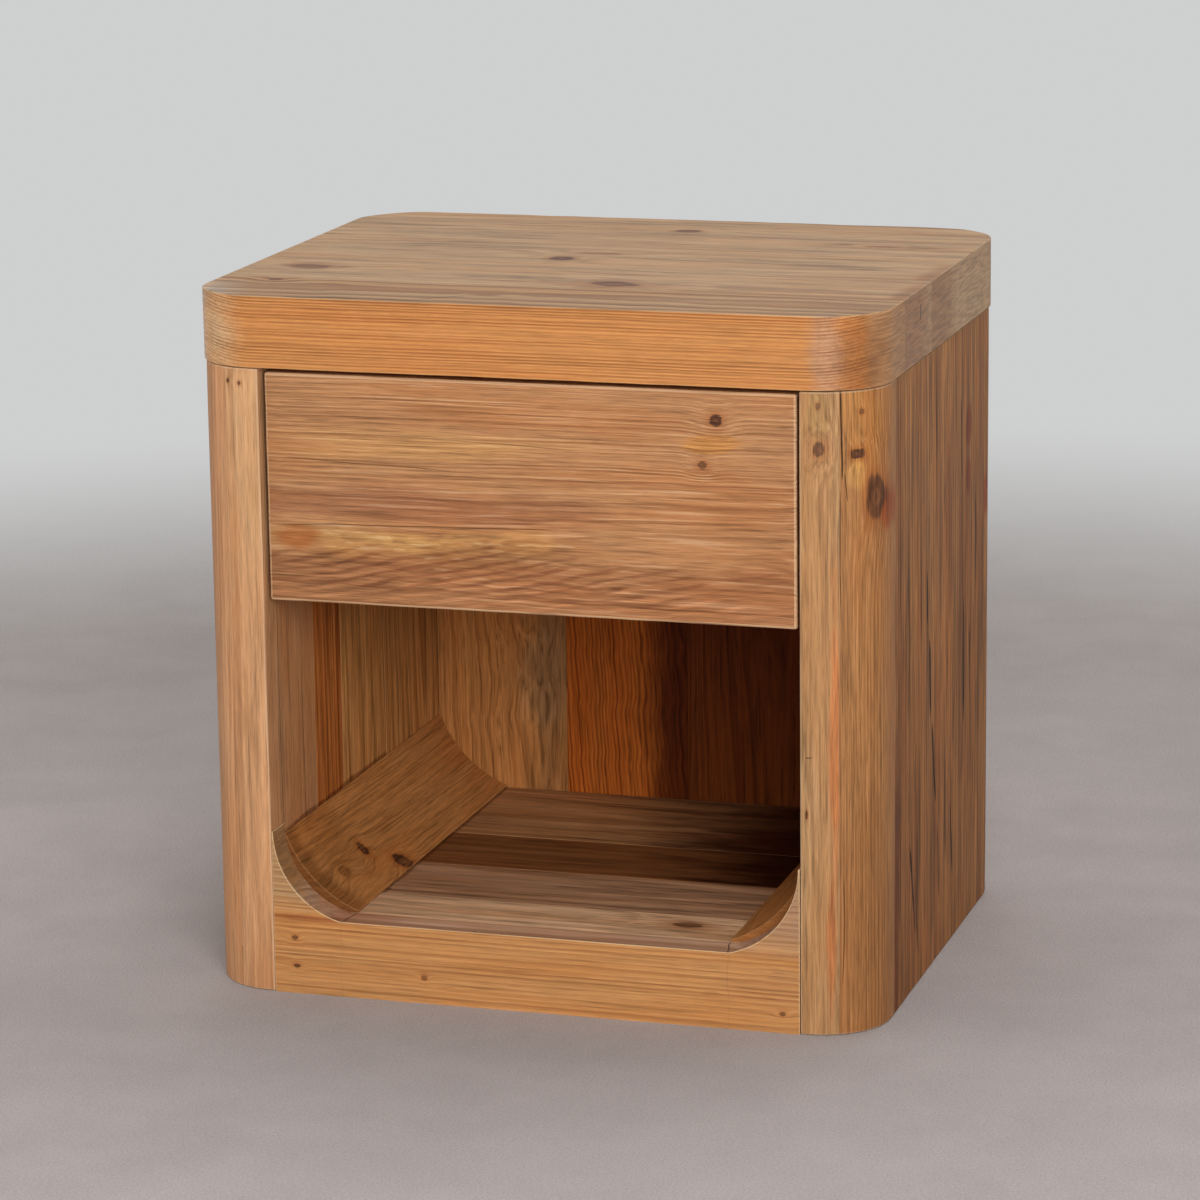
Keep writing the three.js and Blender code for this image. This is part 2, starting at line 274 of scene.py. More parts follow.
@dataclass(frozen=True)
class Check:
    """A drying crack, as a line on a face.

    Attributes:
        start: One end, in mm from the board's left, front and lower corner.
        end: Other end.
        width: Half its width in the middle, in mm.
        through: Axis that it runs in along: 0, 1 or 2.
        shade: How dark it is, from 0 to 1.
    """

    start: Point
    end: Point
    width: float
    through: int
    shade: float = 1.0


@dataclass(frozen=True)
class StainAndShade:
    """A patch of another tint, such as sapwood, resin or dirt that was rubbed in; some patches are
    painted shade, painted shadows and a painted highlight.

    Attributes:
        at: Its middle, in mm from the board's left, front and lower corner.
        size: Half its size along each axis in mm, or 0 where it has no end.
        tint: What the colour of the wood is multiplied by.
        ragged: How uneven its outline is.
        stripes: Width of the slanting stripes that it is made of in mm, or 0 for an even patch.
        slant: How far the stripes run along the grain for each step across it.
    """

    at: Point
    size: Point
    tint: Colour
    ragged: float = 1.0
    stripes: float = 0.0
    slant: float = 0.0


@dataclass(frozen=True)
class Wave:
    """A stretch of curly grain.

    Attributes:
        at: Its middle, in mm from the board's left, front and lower corner.
        size: Half its size along each axis in mm, or 0 where it has no end.
        depth: How far the rings swing, in mm.
        length: Length of one wave, in mm.
    """

    at: Point
    size: Point
    depth: float
    length: float


@dataclass(frozen=True)
class Marks:
    """What sets one board apart from its neighbours."""

    knots: tuple[Knot, ...] = ()
    checks: tuple[Check, ...] = ()
    stains_and_shade: tuple[StainAndShade, ...] = ()
    waves: tuple[Wave, ...] = ()


@dataclass(frozen=True)
class Tone:
    """Colours of one board.

    Attributes:
        early: Light wood of the spring.
        late: Dark lines of the summer.
        heart: Tint of the patches of heartwood.
        pale: Combed fibres and worn edges.
        patina: Tint of the upward faces.
        end: Tint of the end grain.
    """

    early: Colour
    late: Colour
    heart: Colour = (0.88, 0.80, 0.72)
    pale: Colour = (0.60, 0.42, 0.26)
    patina: Colour = (1.0, 1.0, 1.0)
    end: Colour = (0.72, 0.66, 0.60)


@dataclass(frozen=True)
class Tree:
    """Where a board lay in the trunk.

    Attributes:
        pith: Middle of the trunk, from the board's middle across the grain, in metres.
        ring: Mean width of a yearly ring.
        tilt: How much the trunk leans against the board.
        warp: How far the rings wander.
        curl: How far they ripple over short distances, as a share of warp.
    """

    pith: tuple[float, float]
    ring: float = 0.003
    tilt: tuple[float, float] = (0.01, 0.006)
    warp: float = 0.008
    curl: float = 0.16


@dataclass(frozen=True)
class Board:
    """Place of a board, for its material.

    Attributes:
        node: CAD node.
        grain: Direction of the fibres.
        seed: Number that makes its pattern its own.
    """

    node: str
    grain: Grain
    seed: float

    def from_middle(self, at: Point) -> Vector:
        """Turns a place in mm from the board's corner into one in metres from its middle."""
        low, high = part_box(self.node)
        return Vector(at) * MILLIMETRE - (high - low) / 2

    def middle(self) -> Vector:
        """Finds the middle of the board."""
        low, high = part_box(self.node)
        return (low + high) / 2


@dataclass(frozen=True)
class Pine:
    """Brushed and oiled reclaimed pine.

    Attributes:
        tone: Colours.
        tree: Where the board lay in the trunk.
        contrast: Strength of the rings.
        fibre: Strength of the fine fibres.
        combed: Amount of pale lines left by the brush.
        streaks: Amount of dark lines.
        flecks: Amount of short dark flecks.
        coarse: How much wider its lines are than those of fine-grained wood.
        relief: Depth of the brushed relief in metres.
        roughness: Mean roughness.
        gloss: Strength of the oil's reflection.
        worn: How pale the arrises are.
    """

    tone: Tone
    tree: Tree
    contrast: float = 0.7
    fibre: float = 0.35
    combed: float = 0.3
    streaks: float = 0.4
    flecks: float = 0.35
    coarse: float = 1.0
    relief: float = 0.0003
    roughness: float = 0.55
    gloss: float = 0.25
    worn: float = 0.5

    KNOT_DARK = (0.05, 0.017, 0.008)
    KNOT_MIDDLE = (0.24, 0.090, 0.032)
    KNOT_HALO = (0.80, 0.55, 0.38)
    CRACK = (0.014, 0.006, 0.003)
    CRACK_SOFT = 0.00025  # half the width of a crack's soft edge, in metres
    CRACK_BEND = 0.005  # how far a crack strays from its line, in metres
    KNOT_REACH = -0.13  # how quickly the rings calm down away from a knot
    SLANT = 0.45  # how much the brushed lines also follow the faces
    SAWN = 0.72  # share of the sawn look on the end grain
    SUNKEN = 0.35  # height lost in a knot
    OPEN = 2.0  # height lost in a crack

    def dress(self, board: Board) -> bpy.types.Material:
        """Makes the material of one board.

        Args:
            board: The board.

        Returns:
            The material.
        """
        marks = MARKS.get(board.node, Marks())
        seed = board.seed
        sketch = Sketch(board.node)
        coordinates = sketch.node("TexCoord")
        place = sketch.vector("SUBTRACT", coordinates.outputs["Object"], tuple(board.middle()))
        parts = sketch.split(place)
        along, across, up = (parts[axis] for axis in board.grain.value)
        at = sketch.joined((along, across, up))
        drift = sketch.noise(at, (1.5, 8.0, 8.0), seed)
        ripple = sketch.noise(at, (9.0, 60.0, 60.0), seed + 7.0)

        fine = sketch.noise(at, self._cells(42.0, 820.0), seed + 3.0, 3.0).outputs["Fac"]
        patches = sketch.noise(at, (5.0, 38.0, 38.0), seed + 17.0, 3.0).outputs["Fac"]

        uneven = self._sum(sketch, (ripple.outputs["Fac"], 2.2), (fine, 0.9), (1.0, -1.55))
        distances, swelling = self._knots(sketch, place, board, uneven, marks.knots)
        radius = self._trunk(sketch, along, (across, up), drift, ripple)
        waves = self._waves(sketch, place, board, drift, marks.waves)
        radius = self._sum(sketch, (radius, 1.0), (swelling, 1.0), (waves, 1.0))
        late = self._rings(sketch, radius, seed)

        slant = self._sum(sketch, (across, self.SLANT), (up, self.SLANT))
        flow = sketch.joined((along, radius, slant))
        lines = sketch.noise(flow, self._cells(9.0, 560.0), seed + 11.0, 4.0).outputs["Fac"]

        ringed = sketch.math("MULTIPLY", late, self.contrast)
        colour = sketch.blend(ringed, self.tone.early, self.tone.late)
        colour = sketch.blend(sketch.ramp(patches, 0.42, 0.64), colour, self.tone.heart, "MULTIPLY")
        colour = sketch.scaled(colour, self._brightness(sketch, fine, lines, patches))
        colour = self._brushing(sketch, colour, lines, fine, patches)
        colour = self._faces(sketch, colour, coordinates.outputs["Normal"], board.grain, at, seed)
        colour = self._stains_and_shade(sketch, colour, place, board, drift, marks.stains_and_shade)
        colour, pits = self._knot_colour(sketch, colour, distances, fine, ripple)
        colour, cracks = self._checks(sketch, colour, place, board, ripple, marks.checks)

        edge = sketch.node("Attribute", attribute_type="GEOMETRY", attribute_name=ARRIS).outputs["Fac"]
        rubbed = sketch.math("MULTIPLY", edge, sketch.ramp(lines, 0.30, 0.55, 0.35, 1.0))
        colour = sketch.blend(sketch.math("MULTIPLY", rubbed, self.worn), colour, self.tone.pale)

        height = self._sum(
            sketch,
            (late, 0.5),
            (fine, 0.35),
            (lines, 0.8),
            (patches, 0.5),
            (cracks, -self.OPEN),
            (pits, -self.SUNKEN),
        )
        sheen = self._sum(sketch, (fine, 0.16), (late, -0.06), (1.0, self.roughness - 0.08))
        sketch.finish(colour, sheen, height, self.relief, Specular_IOR_Level=self.gloss)
        return sketch.material

    def _cells(self, along: float, across: float) -> Point:
        """Gives the cells per metre of a noise that is as coarse as the wood."""
        return (along / self.coarse**0.5, across / self.coarse, across / self.coarse)

    @staticmethod
    def _sum(sketch: Sketch, *terms: tuple[Value, float]) -> Value:
        """Adds up values, each times its own share."""
        total: Value = 0.0
        for value, share in terms:
            total = sketch.math("ADD", total, sketch.math("MULTIPLY", value, share))
        return total

    def _brightness(self, sketch: Sketch, fine: Value, lines: Value, patches: Value) -> Value:
        """Combines the noises into one factor around 1."""
        total: Value = 1.0
        for source, share in ((fine, 2.4 * self.fibre), (lines, 1.8 * self.fibre), (patches, 0.8)):
            swing = sketch.math("MULTIPLY", sketch.math("SUBTRACT", source, 0.5), share)
            total = sketch.math("ADD", total, swing)
        return total

    def _brushing(
        self, sketch: Sketch, colour: Field, lines: Value, fine: Value, patches: Value
    ) -> Field:
        """Adds the pale and the dark lines that follow the rings, and the short dark flecks.

        Args:
            sketch: Material under construction.
            colour: Colour of the wood.
            lines: Noise along the rings.
            fine: Fine noise along the fibres.
            patches: Noise that groups the lines.

        Returns:
            The brushed colour.
        """
        grouped = sketch.ramp(patches, 0.36, 0.60, 0.25, 1.0)
        pale = sketch.math("MULTIPLY", sketch.ramp(lines, 0.555, 0.67), self.combed)
        colour = sketch.blend(sketch.math("MULTIPLY", pale, grouped), colour, self.tone.pale)
        ink = tuple(0.5 * part for part in self.tone.late)
        dark = sketch.math("MULTIPLY", sketch.ramp(lines, 0.42, 0.30), 0.8 * self.streaks)
        colour = sketch.blend(dark, colour, ink)
        flecks = sketch.math("MULTIPLY", sketch.ramp(fine, 0.585, 0.70), self.flecks)
        return sketch.blend(flecks, colour, ink)

    def _faces(
        self, sketch: Sketch, colour: Field, normal: Field, grain: Grain, at: Field, seed: float
    ) -> Field:
        """Tints the end grain and the upward faces.

        Args:
            sketch: Material under construction.
            colour: Colour of the wood.
            normal: Normal of the surface.
            grain: Direction of the fibres.
            at: Coordinates along and across the grain.
            seed: The board's own number.

        Returns:
            The tinted colour.
        """
        facing = sketch.split(normal)
        end = sketch.ramp(sketch.math("ABSOLUTE", facing[grain.value[0]]), 0.70, 0.86)
        sawn = sketch.noise(at, (40.0, 45.0, 520.0), seed + 23.0, 4.0).outputs["Fac"]
        tones = zip(self.tone.early, self.tone.late, self.tone.end)
        mean = [(early + late) / 2 * tint for early, late, tint in tones]
        sawn = sketch.scaled(mean, sketch.ramp(sawn, 0.30, 0.70, 0.68, 1.32))
        colour = sketch.blend(sketch.math("MULTIPLY", end, self.SAWN), colour, sawn)
        return sketch.blend(sketch.ramp(facing[2], 0.5, 0.95), colour, self.tone.patina, "MULTIPLY")

    def _trunk(
        self,
        sketch: Sketch,
        along: Value,
        crossing: Sequence[Value],
        drift: bpy.types.Node,
        ripple: bpy.types.Node,
    ) -> bpy.types.NodeSocket:
        """Works out the distance to the middle of the trunk, with the wander of the rings.

        Args:
            sketch: Material under construction.
            along: Coordinate along the grain.
            crossing: The two coordinates across the grain.
            drift: Slow noise.
            ripple: Quick noise.

        Returns:
            The distance in metres.
        """
        slow = sketch.split(drift.outputs["Color"])
        quick = sketch.split(ripple.outputs["Color"])
        offsets = []
        for index, coordinate in enumerate(crossing):
            lean = sketch.math("MULTIPLY", along, self.tree.tilt[index])
            wander = sketch.math("SUBTRACT", slow[index], 0.5)
            wander = sketch.math("MULTIPLY", wander, 2 * self.tree.warp)
            curl = self.tree.curl * self.tree.warp
            shiver = sketch.math("MULTIPLY", sketch.math("SUBTRACT", quick[index], 0.5), curl)
            offset = sketch.math("SUBTRACT", coordinate, self.tree.pith[index])
            for part in (lean, wander, shiver):
                offset = sketch.math("ADD", offset, part)
            offsets.append(offset)
        return sketch.vector("LENGTH", sketch.joined((*offsets, 0.0)))

    @staticmethod
    def _around(
        sketch: Sketch, place: Field, board: Board, mark: StainAndShade | Wave
    ) -> tuple[bpy.types.NodeSocket, bpy.types.NodeSocket]:
        """Measures where a surface point lies in the patch that a mark covers.

        Args:
            sketch: Material under construction.
            place: Coordinates from the board's middle.
            board: The board.
            mark: Mark with a middle and a size.

        Returns:
            The offset from the mark's middle in metres, and the distance in sizes.
        """
        scale = tuple(1.0 / (size * MILLIMETRE) if size else 0.0 for size in mark.size)
        offset = sketch.vector("SUBTRACT", place, tuple(board.from_middle(mark.at)))
        return offset, sketch.vector("LENGTH", sketch.vector("MULTIPLY", offset, scale))

    def _waves(
        self, sketch: Sketch, place: Field, board: Board, drift: bpy.types.Node, waves: Sequence[Wave]
    ) -> Value:
        """Swings the rings where the grain is curly.

        Args:
            sketch: Material under construction.
            place: Coordinates from the board's middle.
            board: The board.
            drift: Slow noise, so that no two waves are alike.
            waves: The board's stretches of curly grain.

        Returns:
            How far the rings are moved, in metres.
        """
        moved: Value = 0.0
        wander = sketch.math("MULTIPLY", drift.outputs["Fac"], 9.0)
        for wave in waves:
            offset, distance = self._around(sketch, place, board, wave)
            run = sketch.split(offset)[board.grain.value[0]]
            phase = self._sum(sketch, (run, math.tau / (wave.length * MILLIMETRE)), (wander, 1.0))
            lean = sketch.math("MULTIPLY", sketch.math("SINE", phase), 0.8)
            swing = sketch.math("SINE", sketch.math("ADD", phase, lean))
            swing = sketch.math("MULTIPLY", swing, sketch.ramp(distance, 1.2, 0.3))
            moved = sketch.math("ADD", moved, sketch.math("MULTIPLY", swing, wave.depth * MILLIMETRE))
        return moved

    def _rings(self, sketch: Sketch, radius: Value, seed: float) -> bpy.types.NodeSocket:
        """Turns the distance to the pith into dark lines of late wood.

        Args:
            sketch: Material under construction.
            radius: Distance to the middle of the trunk.
            seed: The board's own number.

        Returns:
            How much late wood there is.
        """
        widths = sketch.noise(sketch.joined((radius, 0.0, 0.0)), (90.0, 1.0, 1.0), seed + 5.0, 1.0)
        count = sketch.math("DIVIDE", radius, self.tree.ring)
        phase = sketch.math("ADD", count, sketch.math("MULTIPLY", widths.outputs["Fac"], 2.5))
        year = sketch.math("FLOOR", phase)
        part = sketch.math("FRACT", phase)
        chance = sketch.node("TexWhiteNoise", noise_dimensions="1D")
        sketch.feed(chance.inputs["W"], sketch.math("ADD", year, seed))
        strength = sketch.ramp(chance.outputs["Value"], 0.0, 1.0, 0.35, 1.0)
        rise = sketch.ramp(part, 0.22, 0.86)
        fall = sketch.ramp(part, 1.0, 0.92)
        return sketch.math("MULTIPLY", sketch.math("MULTIPLY", rise, fall), strength)

    def _knots(
        self, sketch: Sketch, place: Field, board: Board, uneven: Value, knots: Sequence[Knot]
    ) -> tuple[list[tuple[Knot, bpy.types.NodeSocket]], Value]:
        """Measures the distance to each knot and how far it swells the rings.

        Args:
            sketch: Material under construction.
            place: Coordinates from the board's middle.
            board: The board.
            uneven: Noise, for knots that aren't quite round.
            knots: The board's knots.

        Returns:
            Each knot with its distance in radii, and the swelling in metres.
        """
        distances = []
        swelling: Value = 0.0
        for knot in knots:
            scale = [1.0 / (knot.radius * MILLIMETRE)] * 3
            scale[board.grain.value[0]] /= knot.stretch
            scale[knot.through] = 0.0
            offset = sketch.vector("SUBTRACT", place, tuple(board.from_middle(knot.at)))
            distance = sketch.vector("LENGTH", sketch.vector("MULTIPLY", offset, tuple(scale)))
            distance = sketch.math("ADD", distance, uneven)
            distances.append((knot, distance))
            square = sketch.math("MULTIPLY", distance, distance)
            hump = sketch.math("EXPONENT", sketch.math("MULTIPLY", square, self.KNOT_REACH))
            hump = sketch.math("MULTIPLY", hump, knot.lift * self.tree.ring)
            swelling = sketch.math("ADD", swelling, hump)
        return distances, swelling

    def _knot_colour(
        self,
        sketch: Sketch,
        colour: Field,
        distances: Sequence[tuple[Knot, bpy.types.NodeSocket]],
        fine: Value,
        ripple: bpy.types.Node,
    ) -> tuple[Field, Value]:
        """Paints the knots over the wood.

        Args:
            sketch: Material under construction.
            colour: Colour of the wood.
            distances: Each knot with its distance in radii.
            fine: Fine noise, for the knots' own fibres.
            ripple: Quick noise, for bark that comes and goes.

        Returns:
            The colour with the knots, and how much of a knot there is.
        """
        pits: Value = 0.0
        barky = sketch.ramp(ripple.outputs["Fac"], 0.35, 0.6, 0.3, 0.95)
        for knot, distance in distances:
            halo = sketch.math("MULTIPLY", sketch.ramp(distance, 2.3, 0.9), 0.6 * knot.shade)
            colour = sketch.blend(halo, colour, self.KNOT_HALO, "MULTIPLY")
            rings = sketch.math("SINE", sketch.math("MULTIPLY", distance, 9.0))
            inner = sketch.ramp(self._sum(sketch, (rings, 0.12), (fine, 1.8)), 0.55, 1.25)
            core = sketch.blend(inner, self.KNOT_DARK, self.KNOT_MIDDLE)
            bark = sketch.math("MULTIPLY", sketch.ramp(distance, 0.55, 0.90), barky)
            core = sketch.blend(bark, core, self.KNOT_DARK)
            mask = sketch.math("MULTIPLY", sketch.ramp(distance, 1.18, 0.85), knot.shade)
            colour = sketch.blend(mask, colour, core)
            pits = sketch.math("MAXIMUM", pits, mask)
        return colour, pits

    def _checks(
        self,
        sketch: Sketch,
        colour: Field,
        place: Field,
        board: Board,
        ripple: bpy.types.Node,
        checks: Sequence[Check],
    ) -> tuple[Field, Value]:
        """Paints the cracks over the wood.

        Args:
            sketch: Material under construction.
            colour: Colour of the wood.
            place: Coordinates from the board's middle.
            board: The board.
            ripple: Quick noise, for a crack that isn't quite straight.
            checks: The board's cracks.

        Returns:
            The colour with the cracks, and how much of a crack there is.
        """
        depth: Value = 0.0
        bend = sketch.math("SUBTRACT", ripple.outputs["Fac"], 0.5)
        bend = sketch.math("MULTIPLY", bend, self.CRACK_BEND)
        for check in checks:
            start = board.from_middle(check.start)
            line = board.from_middle(check.end) - start
            flat = [1.0, 1.0, 1.0]
            flat[check.through] = 0.0
            offset = sketch.vector("SUBTRACT", place, tuple(start))
            offset = sketch.vector("MULTIPLY", offset, tuple(flat))
            run = sketch.vector("DOT_PRODUCT", offset, tuple(line / line.length_squared))
            side = sketch.split(sketch.vector("CROSS_PRODUCT", offset, tuple(line.normalized())))
            away = sketch.math("ABSOLUTE", sketch.math("ADD", side[check.through], bend))
            taper = sketch.math("MULTIPLY", sketch.ramp(run, 0.0, 0.25), sketch.ramp(run, 1.0, 0.75))
            reach = sketch.math("MULTIPLY", taper, check.width * MILLIMETRE)
            gap = sketch.ramp(sketch.math("SUBTRACT", away, reach), self.CRACK_SOFT, -self.CRACK_SOFT)
            gap = sketch.math("MULTIPLY", gap, sketch.ramp(taper, 0.0, 0.4, 0.0, check.shade))
            depth = sketch.math("MAXIMUM", depth, gap)
            colour = sketch.blend(gap, colour, self.CRACK)
        return colour, depth

    def _stains_and_shade(
        self,
        sketch: Sketch,
        colour: Field,
        place: Field,
        board: Board,
        drift: bpy.types.Node,
        stains_and_shade: Sequence[StainAndShade],
    ) -> Field:
        """Tints the patches of another colour, painted shade, painted shadows and a painted highlight
        among them.

        Args:
            sketch: Material under construction.
            colour: Colour of the wood.
            place: Coordinates from the board's middle.
            board: The board.
            drift: Slow noise, for uneven outlines.
            stains_and_shade: The board's patches, painted shade and painted light among them.

        Returns:
            The tinted colour.
        """
        at = sketch.split(place)
        order = board.grain.value
        turned = sketch.joined([at[axis] for axis in order])
        edge = sketch.noise(turned, (16.0, 70.0, 70.0), board.seed + 29.0, 4.0).outputs["Fac"]
        uneven = self._sum(sketch, (drift.outputs["Fac"], 1.0), (edge, 2.2), (1.0, -1.6))
        for stain_and_shade in stains_and_shade:
            offset, distance = self._around(sketch, place, board, stain_and_shade)
            outline = sketch.math("ADD", distance, sketch.math("MULTIPLY", uneven, stain_and_shade.ragged))
            inside = sketch.ramp(outline, 1.3, 0.5)
            if stain_and_shade.stripes:
                away = sketch.split(offset)
                turn = math.tau / (stain_and_shade.stripes * MILLIMETRE)
                leaning = (away[order[2]], -stain_and_shade.slant * turn)
                phase = self._sum(sketch, (away[order[0]], turn), leaning, (edge, 9.0))
                stripe = sketch.ramp(sketch.math("SINE", phase), -0.1, 0.9)
                inside = sketch.math("MULTIPLY", inside, stripe)
            colour = sketch.blend(inside, colour, stain_and_shade.tint, "MULTIPLY")
        return colour


@dataclass(frozen=True)
class Steel:
    """Zinc plated steel, rolled lengthways.

    Attributes:
        colour: Base colour.
        roughness: Mean roughness.
    """

    colour: Colour = (0.60, 0.61, 0.63)
    roughness: float = 0.34

    def dress(self, name: str) -> bpy.types.Material:
        """Makes the material.

        Args:
            name: Name of the material.

        Returns:
            The material.
        """
        sketch = Sketch(name)
        place = sketch.node("TexCoord").outputs["Object"]
        rolled = sketch.noise(place, (900.0, 14.0, 900.0), 3.0, 3.0).outputs["Fac"]
        cloudy = sketch.noise(place, (60.0, 40.0, 60.0), 9.0, 3.0).outputs["Fac"]
        colour = sketch.scaled(self.colour, sketch.ramp(cloudy, 0.25, 0.75, 0.80, 1.06))
        gloss = sketch.math("ADD", sketch.math("MULTIPLY", rolled, 0.22), self.roughness - 0.11)
        sketch.finish(colour, gloss, rolled, 0.00002, Metallic=1.0)
        return sketch.material


# ---------------------------------------------------------------------------------------------
# Meshes
# ---------------------------------------------------------------------------------------------


@dataclass(frozen=True)
class Edge:
    """How an arris is softened.

    Attributes:
        radius: Radius of the rounding.
        segments: Number of facets.
        wear: How unevenly it is rubbed, in metres.
    """

    radius: float
    segments: int = 3
    wear: float = 0.0


class Joinery:
    """Operations that shape boards."""

    SHARP = math.radians(50)  # edges with a larger angle are rounded
    UPRIGHT = 0.99  # least vertical share of the direction of an upright edge
    CUT_REACH = 1e-7  # points that are nearer to a cut lie on it
    WEAR_CELLS = 45.0  # uneven places per metre along an arris

    @staticmethod
    def block(low: Vector, high: Vector) -> bmesh.types.BMesh:
        """Makes a plain board between two corners."""
        shape = bmesh.new()
        bmesh.ops.create_cube(shape, size=1.0)
        bmesh.ops.scale(shape, vec=high - low, verts=shape.verts)
        bmesh.ops.translate(shape, vec=(low + high) / 2, verts=shape.verts)
        return shape

    @classmethod
    def round_corners(cls, shape: bmesh.types.BMesh, radius: float, segments: int) -> None:
        """Rounds the upright edges of a block."""
        upright = [
            edge for edge in shape.edges
            if abs((edge.verts[0].co - edge.verts[1].co).normalized().z) > cls.UPRIGHT
        ]
        bmesh.ops.bevel(
            shape, geom=upright, offset=radius, offset_type="OFFSET", affect="EDGES",
            segments=segments, profile=0.5, material=-1,
        )

    @classmethod
    def keep(cls, shape: bmesh.types.BMesh, point: Vector, outward: Vector) -> None:
        """Saws off what lies beyond a plane and closes the cut.

        Args:
            shape: The board.
            point: A point on the plane.
            outward: Direction of the side that goes.
        """
        geometry = shape.verts[:] + shape.edges[:] + shape.faces[:]
        cut = bmesh.ops.bisect_plane(
            shape, geom=geometry, dist=cls.CUT_REACH, plane_co=point, plane_no=outward, clear_outer=True
        )
        rim = [item for item in cut["geom_cut"] if isinstance(item, bmesh.types.BMEdge)]
        if rim:
            bmesh.ops.contextual_create(shape, geom=rim)

    @classmethod
    def divide(cls, shape: bmesh.types.BMesh, axis: int, step: float) -> None:
        """Adds cross lines along a board, so that its arrises can be rubbed unevenly."""
        places = [vert.co[axis] for vert in shape.verts]
        normal = Vector((0, 0, 0))
        normal[axis] = 1.0
        low, high = min(places), max(places)
        count = max(1, round((high - low) / step))
        for index in range(1, count):
            point = normal * (low + (high - low) * index / count)
            geometry = shape.verts[:] + shape.edges[:] + shape.faces[:]
            bmesh.ops.bisect_plane(
                shape, geom=geometry, dist=cls.CUT_REACH, plane_co=point, plane_no=normal
            )

    @classmethod
    def soften(
        cls,
        shape: bmesh.types.BMesh,
        edge: Edge,
        chosen: Callable[[bmesh.types.BMEdge], bool] = lambda _: True,
    ) -> None:
        """Rounds the sharp edges that are chosen and marks them as arrises.

        Args:
            shape: The board.
            edge: How the arris is softened.
            chosen: Says whether an edge is to be rounded.
        """
        layer = shape.loops.layers.float.get(ARRIS) or shape.loops.layers.float.new(ARRIS)
        shape.normal_update()
        sharp = [
            item for item in shape.edges
            if item.is_manifold and item.calc_face_angle(0.0) > cls.SHARP and chosen(item)
        ]
        if not sharp:
            return
        made = bmesh.ops.bevel(
            shape, geom=sharp, offset=edge.radius, offset_type="OFFSET", affect="EDGES",
            segments=edge.segments, profile=0.5, material=-1, clamp_overlap=True,
        )
        rounded = set(made["faces"])
        for face in rounded:
            for loop in face.loops:
                loop[layer] = 1.0
        if edge.wear > 0.0:
            shape.normal_update()
            moved = {vert for face in rounded for vert in face.verts}
            for vert in moved:
                rub = 0.5 + 0.5 * noise.noise(vert.co * cls.WEAR_CELLS)
                vert.co -= vert.normal * edge.wear * max(0.0, rub)

    @staticmethod
    def arc(
        shape: bmesh.types.BMesh, start: Vector, centre: Vector, angle: float, steps: int
    ) -> list[bmesh.types.BMVert]:
        """Spins a point about a Y axis.

        Args:
            shape: Shape that the arc is added to.
            start: First point.
            centre: Centre of the arc.
            angle: Angle that is turned through.
            steps: Number of steps.

        Returns:
            The arc's points in order.
        """
        first = shape.verts.new(start)
        known = set(shape.verts)
        bmesh.ops.spin(
            shape, geom=[first], cent=centre, axis=(0, 1, 0), angle=angle, steps=steps,
            use_duplicate=False,
        )
        turned = [vert for vert in shape.verts if vert not in known]
        return [first, *sorted(turned, key=lambda vert: (vert.co - start).length)]

    @staticmethod
    def run(shape: bmesh.types.BMesh, outline: Sequence[bmesh.types.BMVert], depth: float) -> None:
        """Closes an outline and extrudes it along Y."""
        for edge in shape.edges[:]:
            shape.edges.remove(edge)
        face = shape.faces.new(outline)
        made = bmesh.ops.extrude_face_region(shape, geom=[face])
        moved = [item for item in made["geom"] if isinstance(item, bmesh.types.BMVert)]
        bmesh.ops.translate(shape, vec=(0, depth, 0), verts=moved)


@dataclass
class Piece:
    """A finished piece of the table, and where it belongs.

    Attributes:
        node: CAD node that it stands for.
        body: CAD body that it rides on.
        slot: Material slot of the record; not used.
    """

    node: str
    body: str
    slot: str

    def publish(self, shape: bmesh.types.BMesh, material: bpy.types.Material) -> bpy.types.Object:
        """Turns a shape into an object of the table.

        Args:
            shape: The piece's shape, which is freed.
            material: Its material.

        Returns:
            The object.
        """
        bmesh.ops.recalc_face_normals(shape, faces=shape.faces)
        for vert in shape.verts:
            vert.co.z = max(vert.co.z, GROUND)
        name = "pine_" + self.node
        mesh = bpy.data.meshes.new(name)
        shape.to_mesh(mesh)
        shape.free()
        mesh.polygons.foreach_set("use_smooth", [True] * len(mesh.polygons))
        mesh.set_sharp_from_angle(angle=SMOOTH_BELOW)
        mesh.materials.append(material)
        made = bpy.data.objects.new(name, mesh)
        bpy.context.scene.collection.objects.link(made)
        shading = made.modifiers.new("even shading", "WEIGHTED_NORMAL")
        shading.keep_sharp = True
        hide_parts(self.node)
        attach(made, self.body)
        LOG.info("%s: %d faces on %s", name, len(mesh.polygons), self.body)
        return made


def piece_for(node: str) -> Piece:
    """Makes the entry of a piece that stands for a CAD node."""
    record = frame["record"]
    body = next(name for name, nodes in record["behaviour"]["bodies"].items() if node in nodes)
    slot = next(part["material_slot"] for part in record["subparts"] if part["node"] == node)
    return Piece(node, body, slot)


def box_of(nodes: Iterable[str]) -> tuple[Vector, Vector]:
    """Finds the box around several CAD nodes."""
    corners = [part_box(node) for node in nodes]
    low = Vector([min(corner[0][axis] for corner in corners) for axis in range(3)])
    high = Vector([max(corner[1][axis] for corner in corners) for axis in range(3)])
    return low, high


# ---------------------------------------------------------------------------------------------
# Tones and marks of the boards
# ---------------------------------------------------------------------------------------------

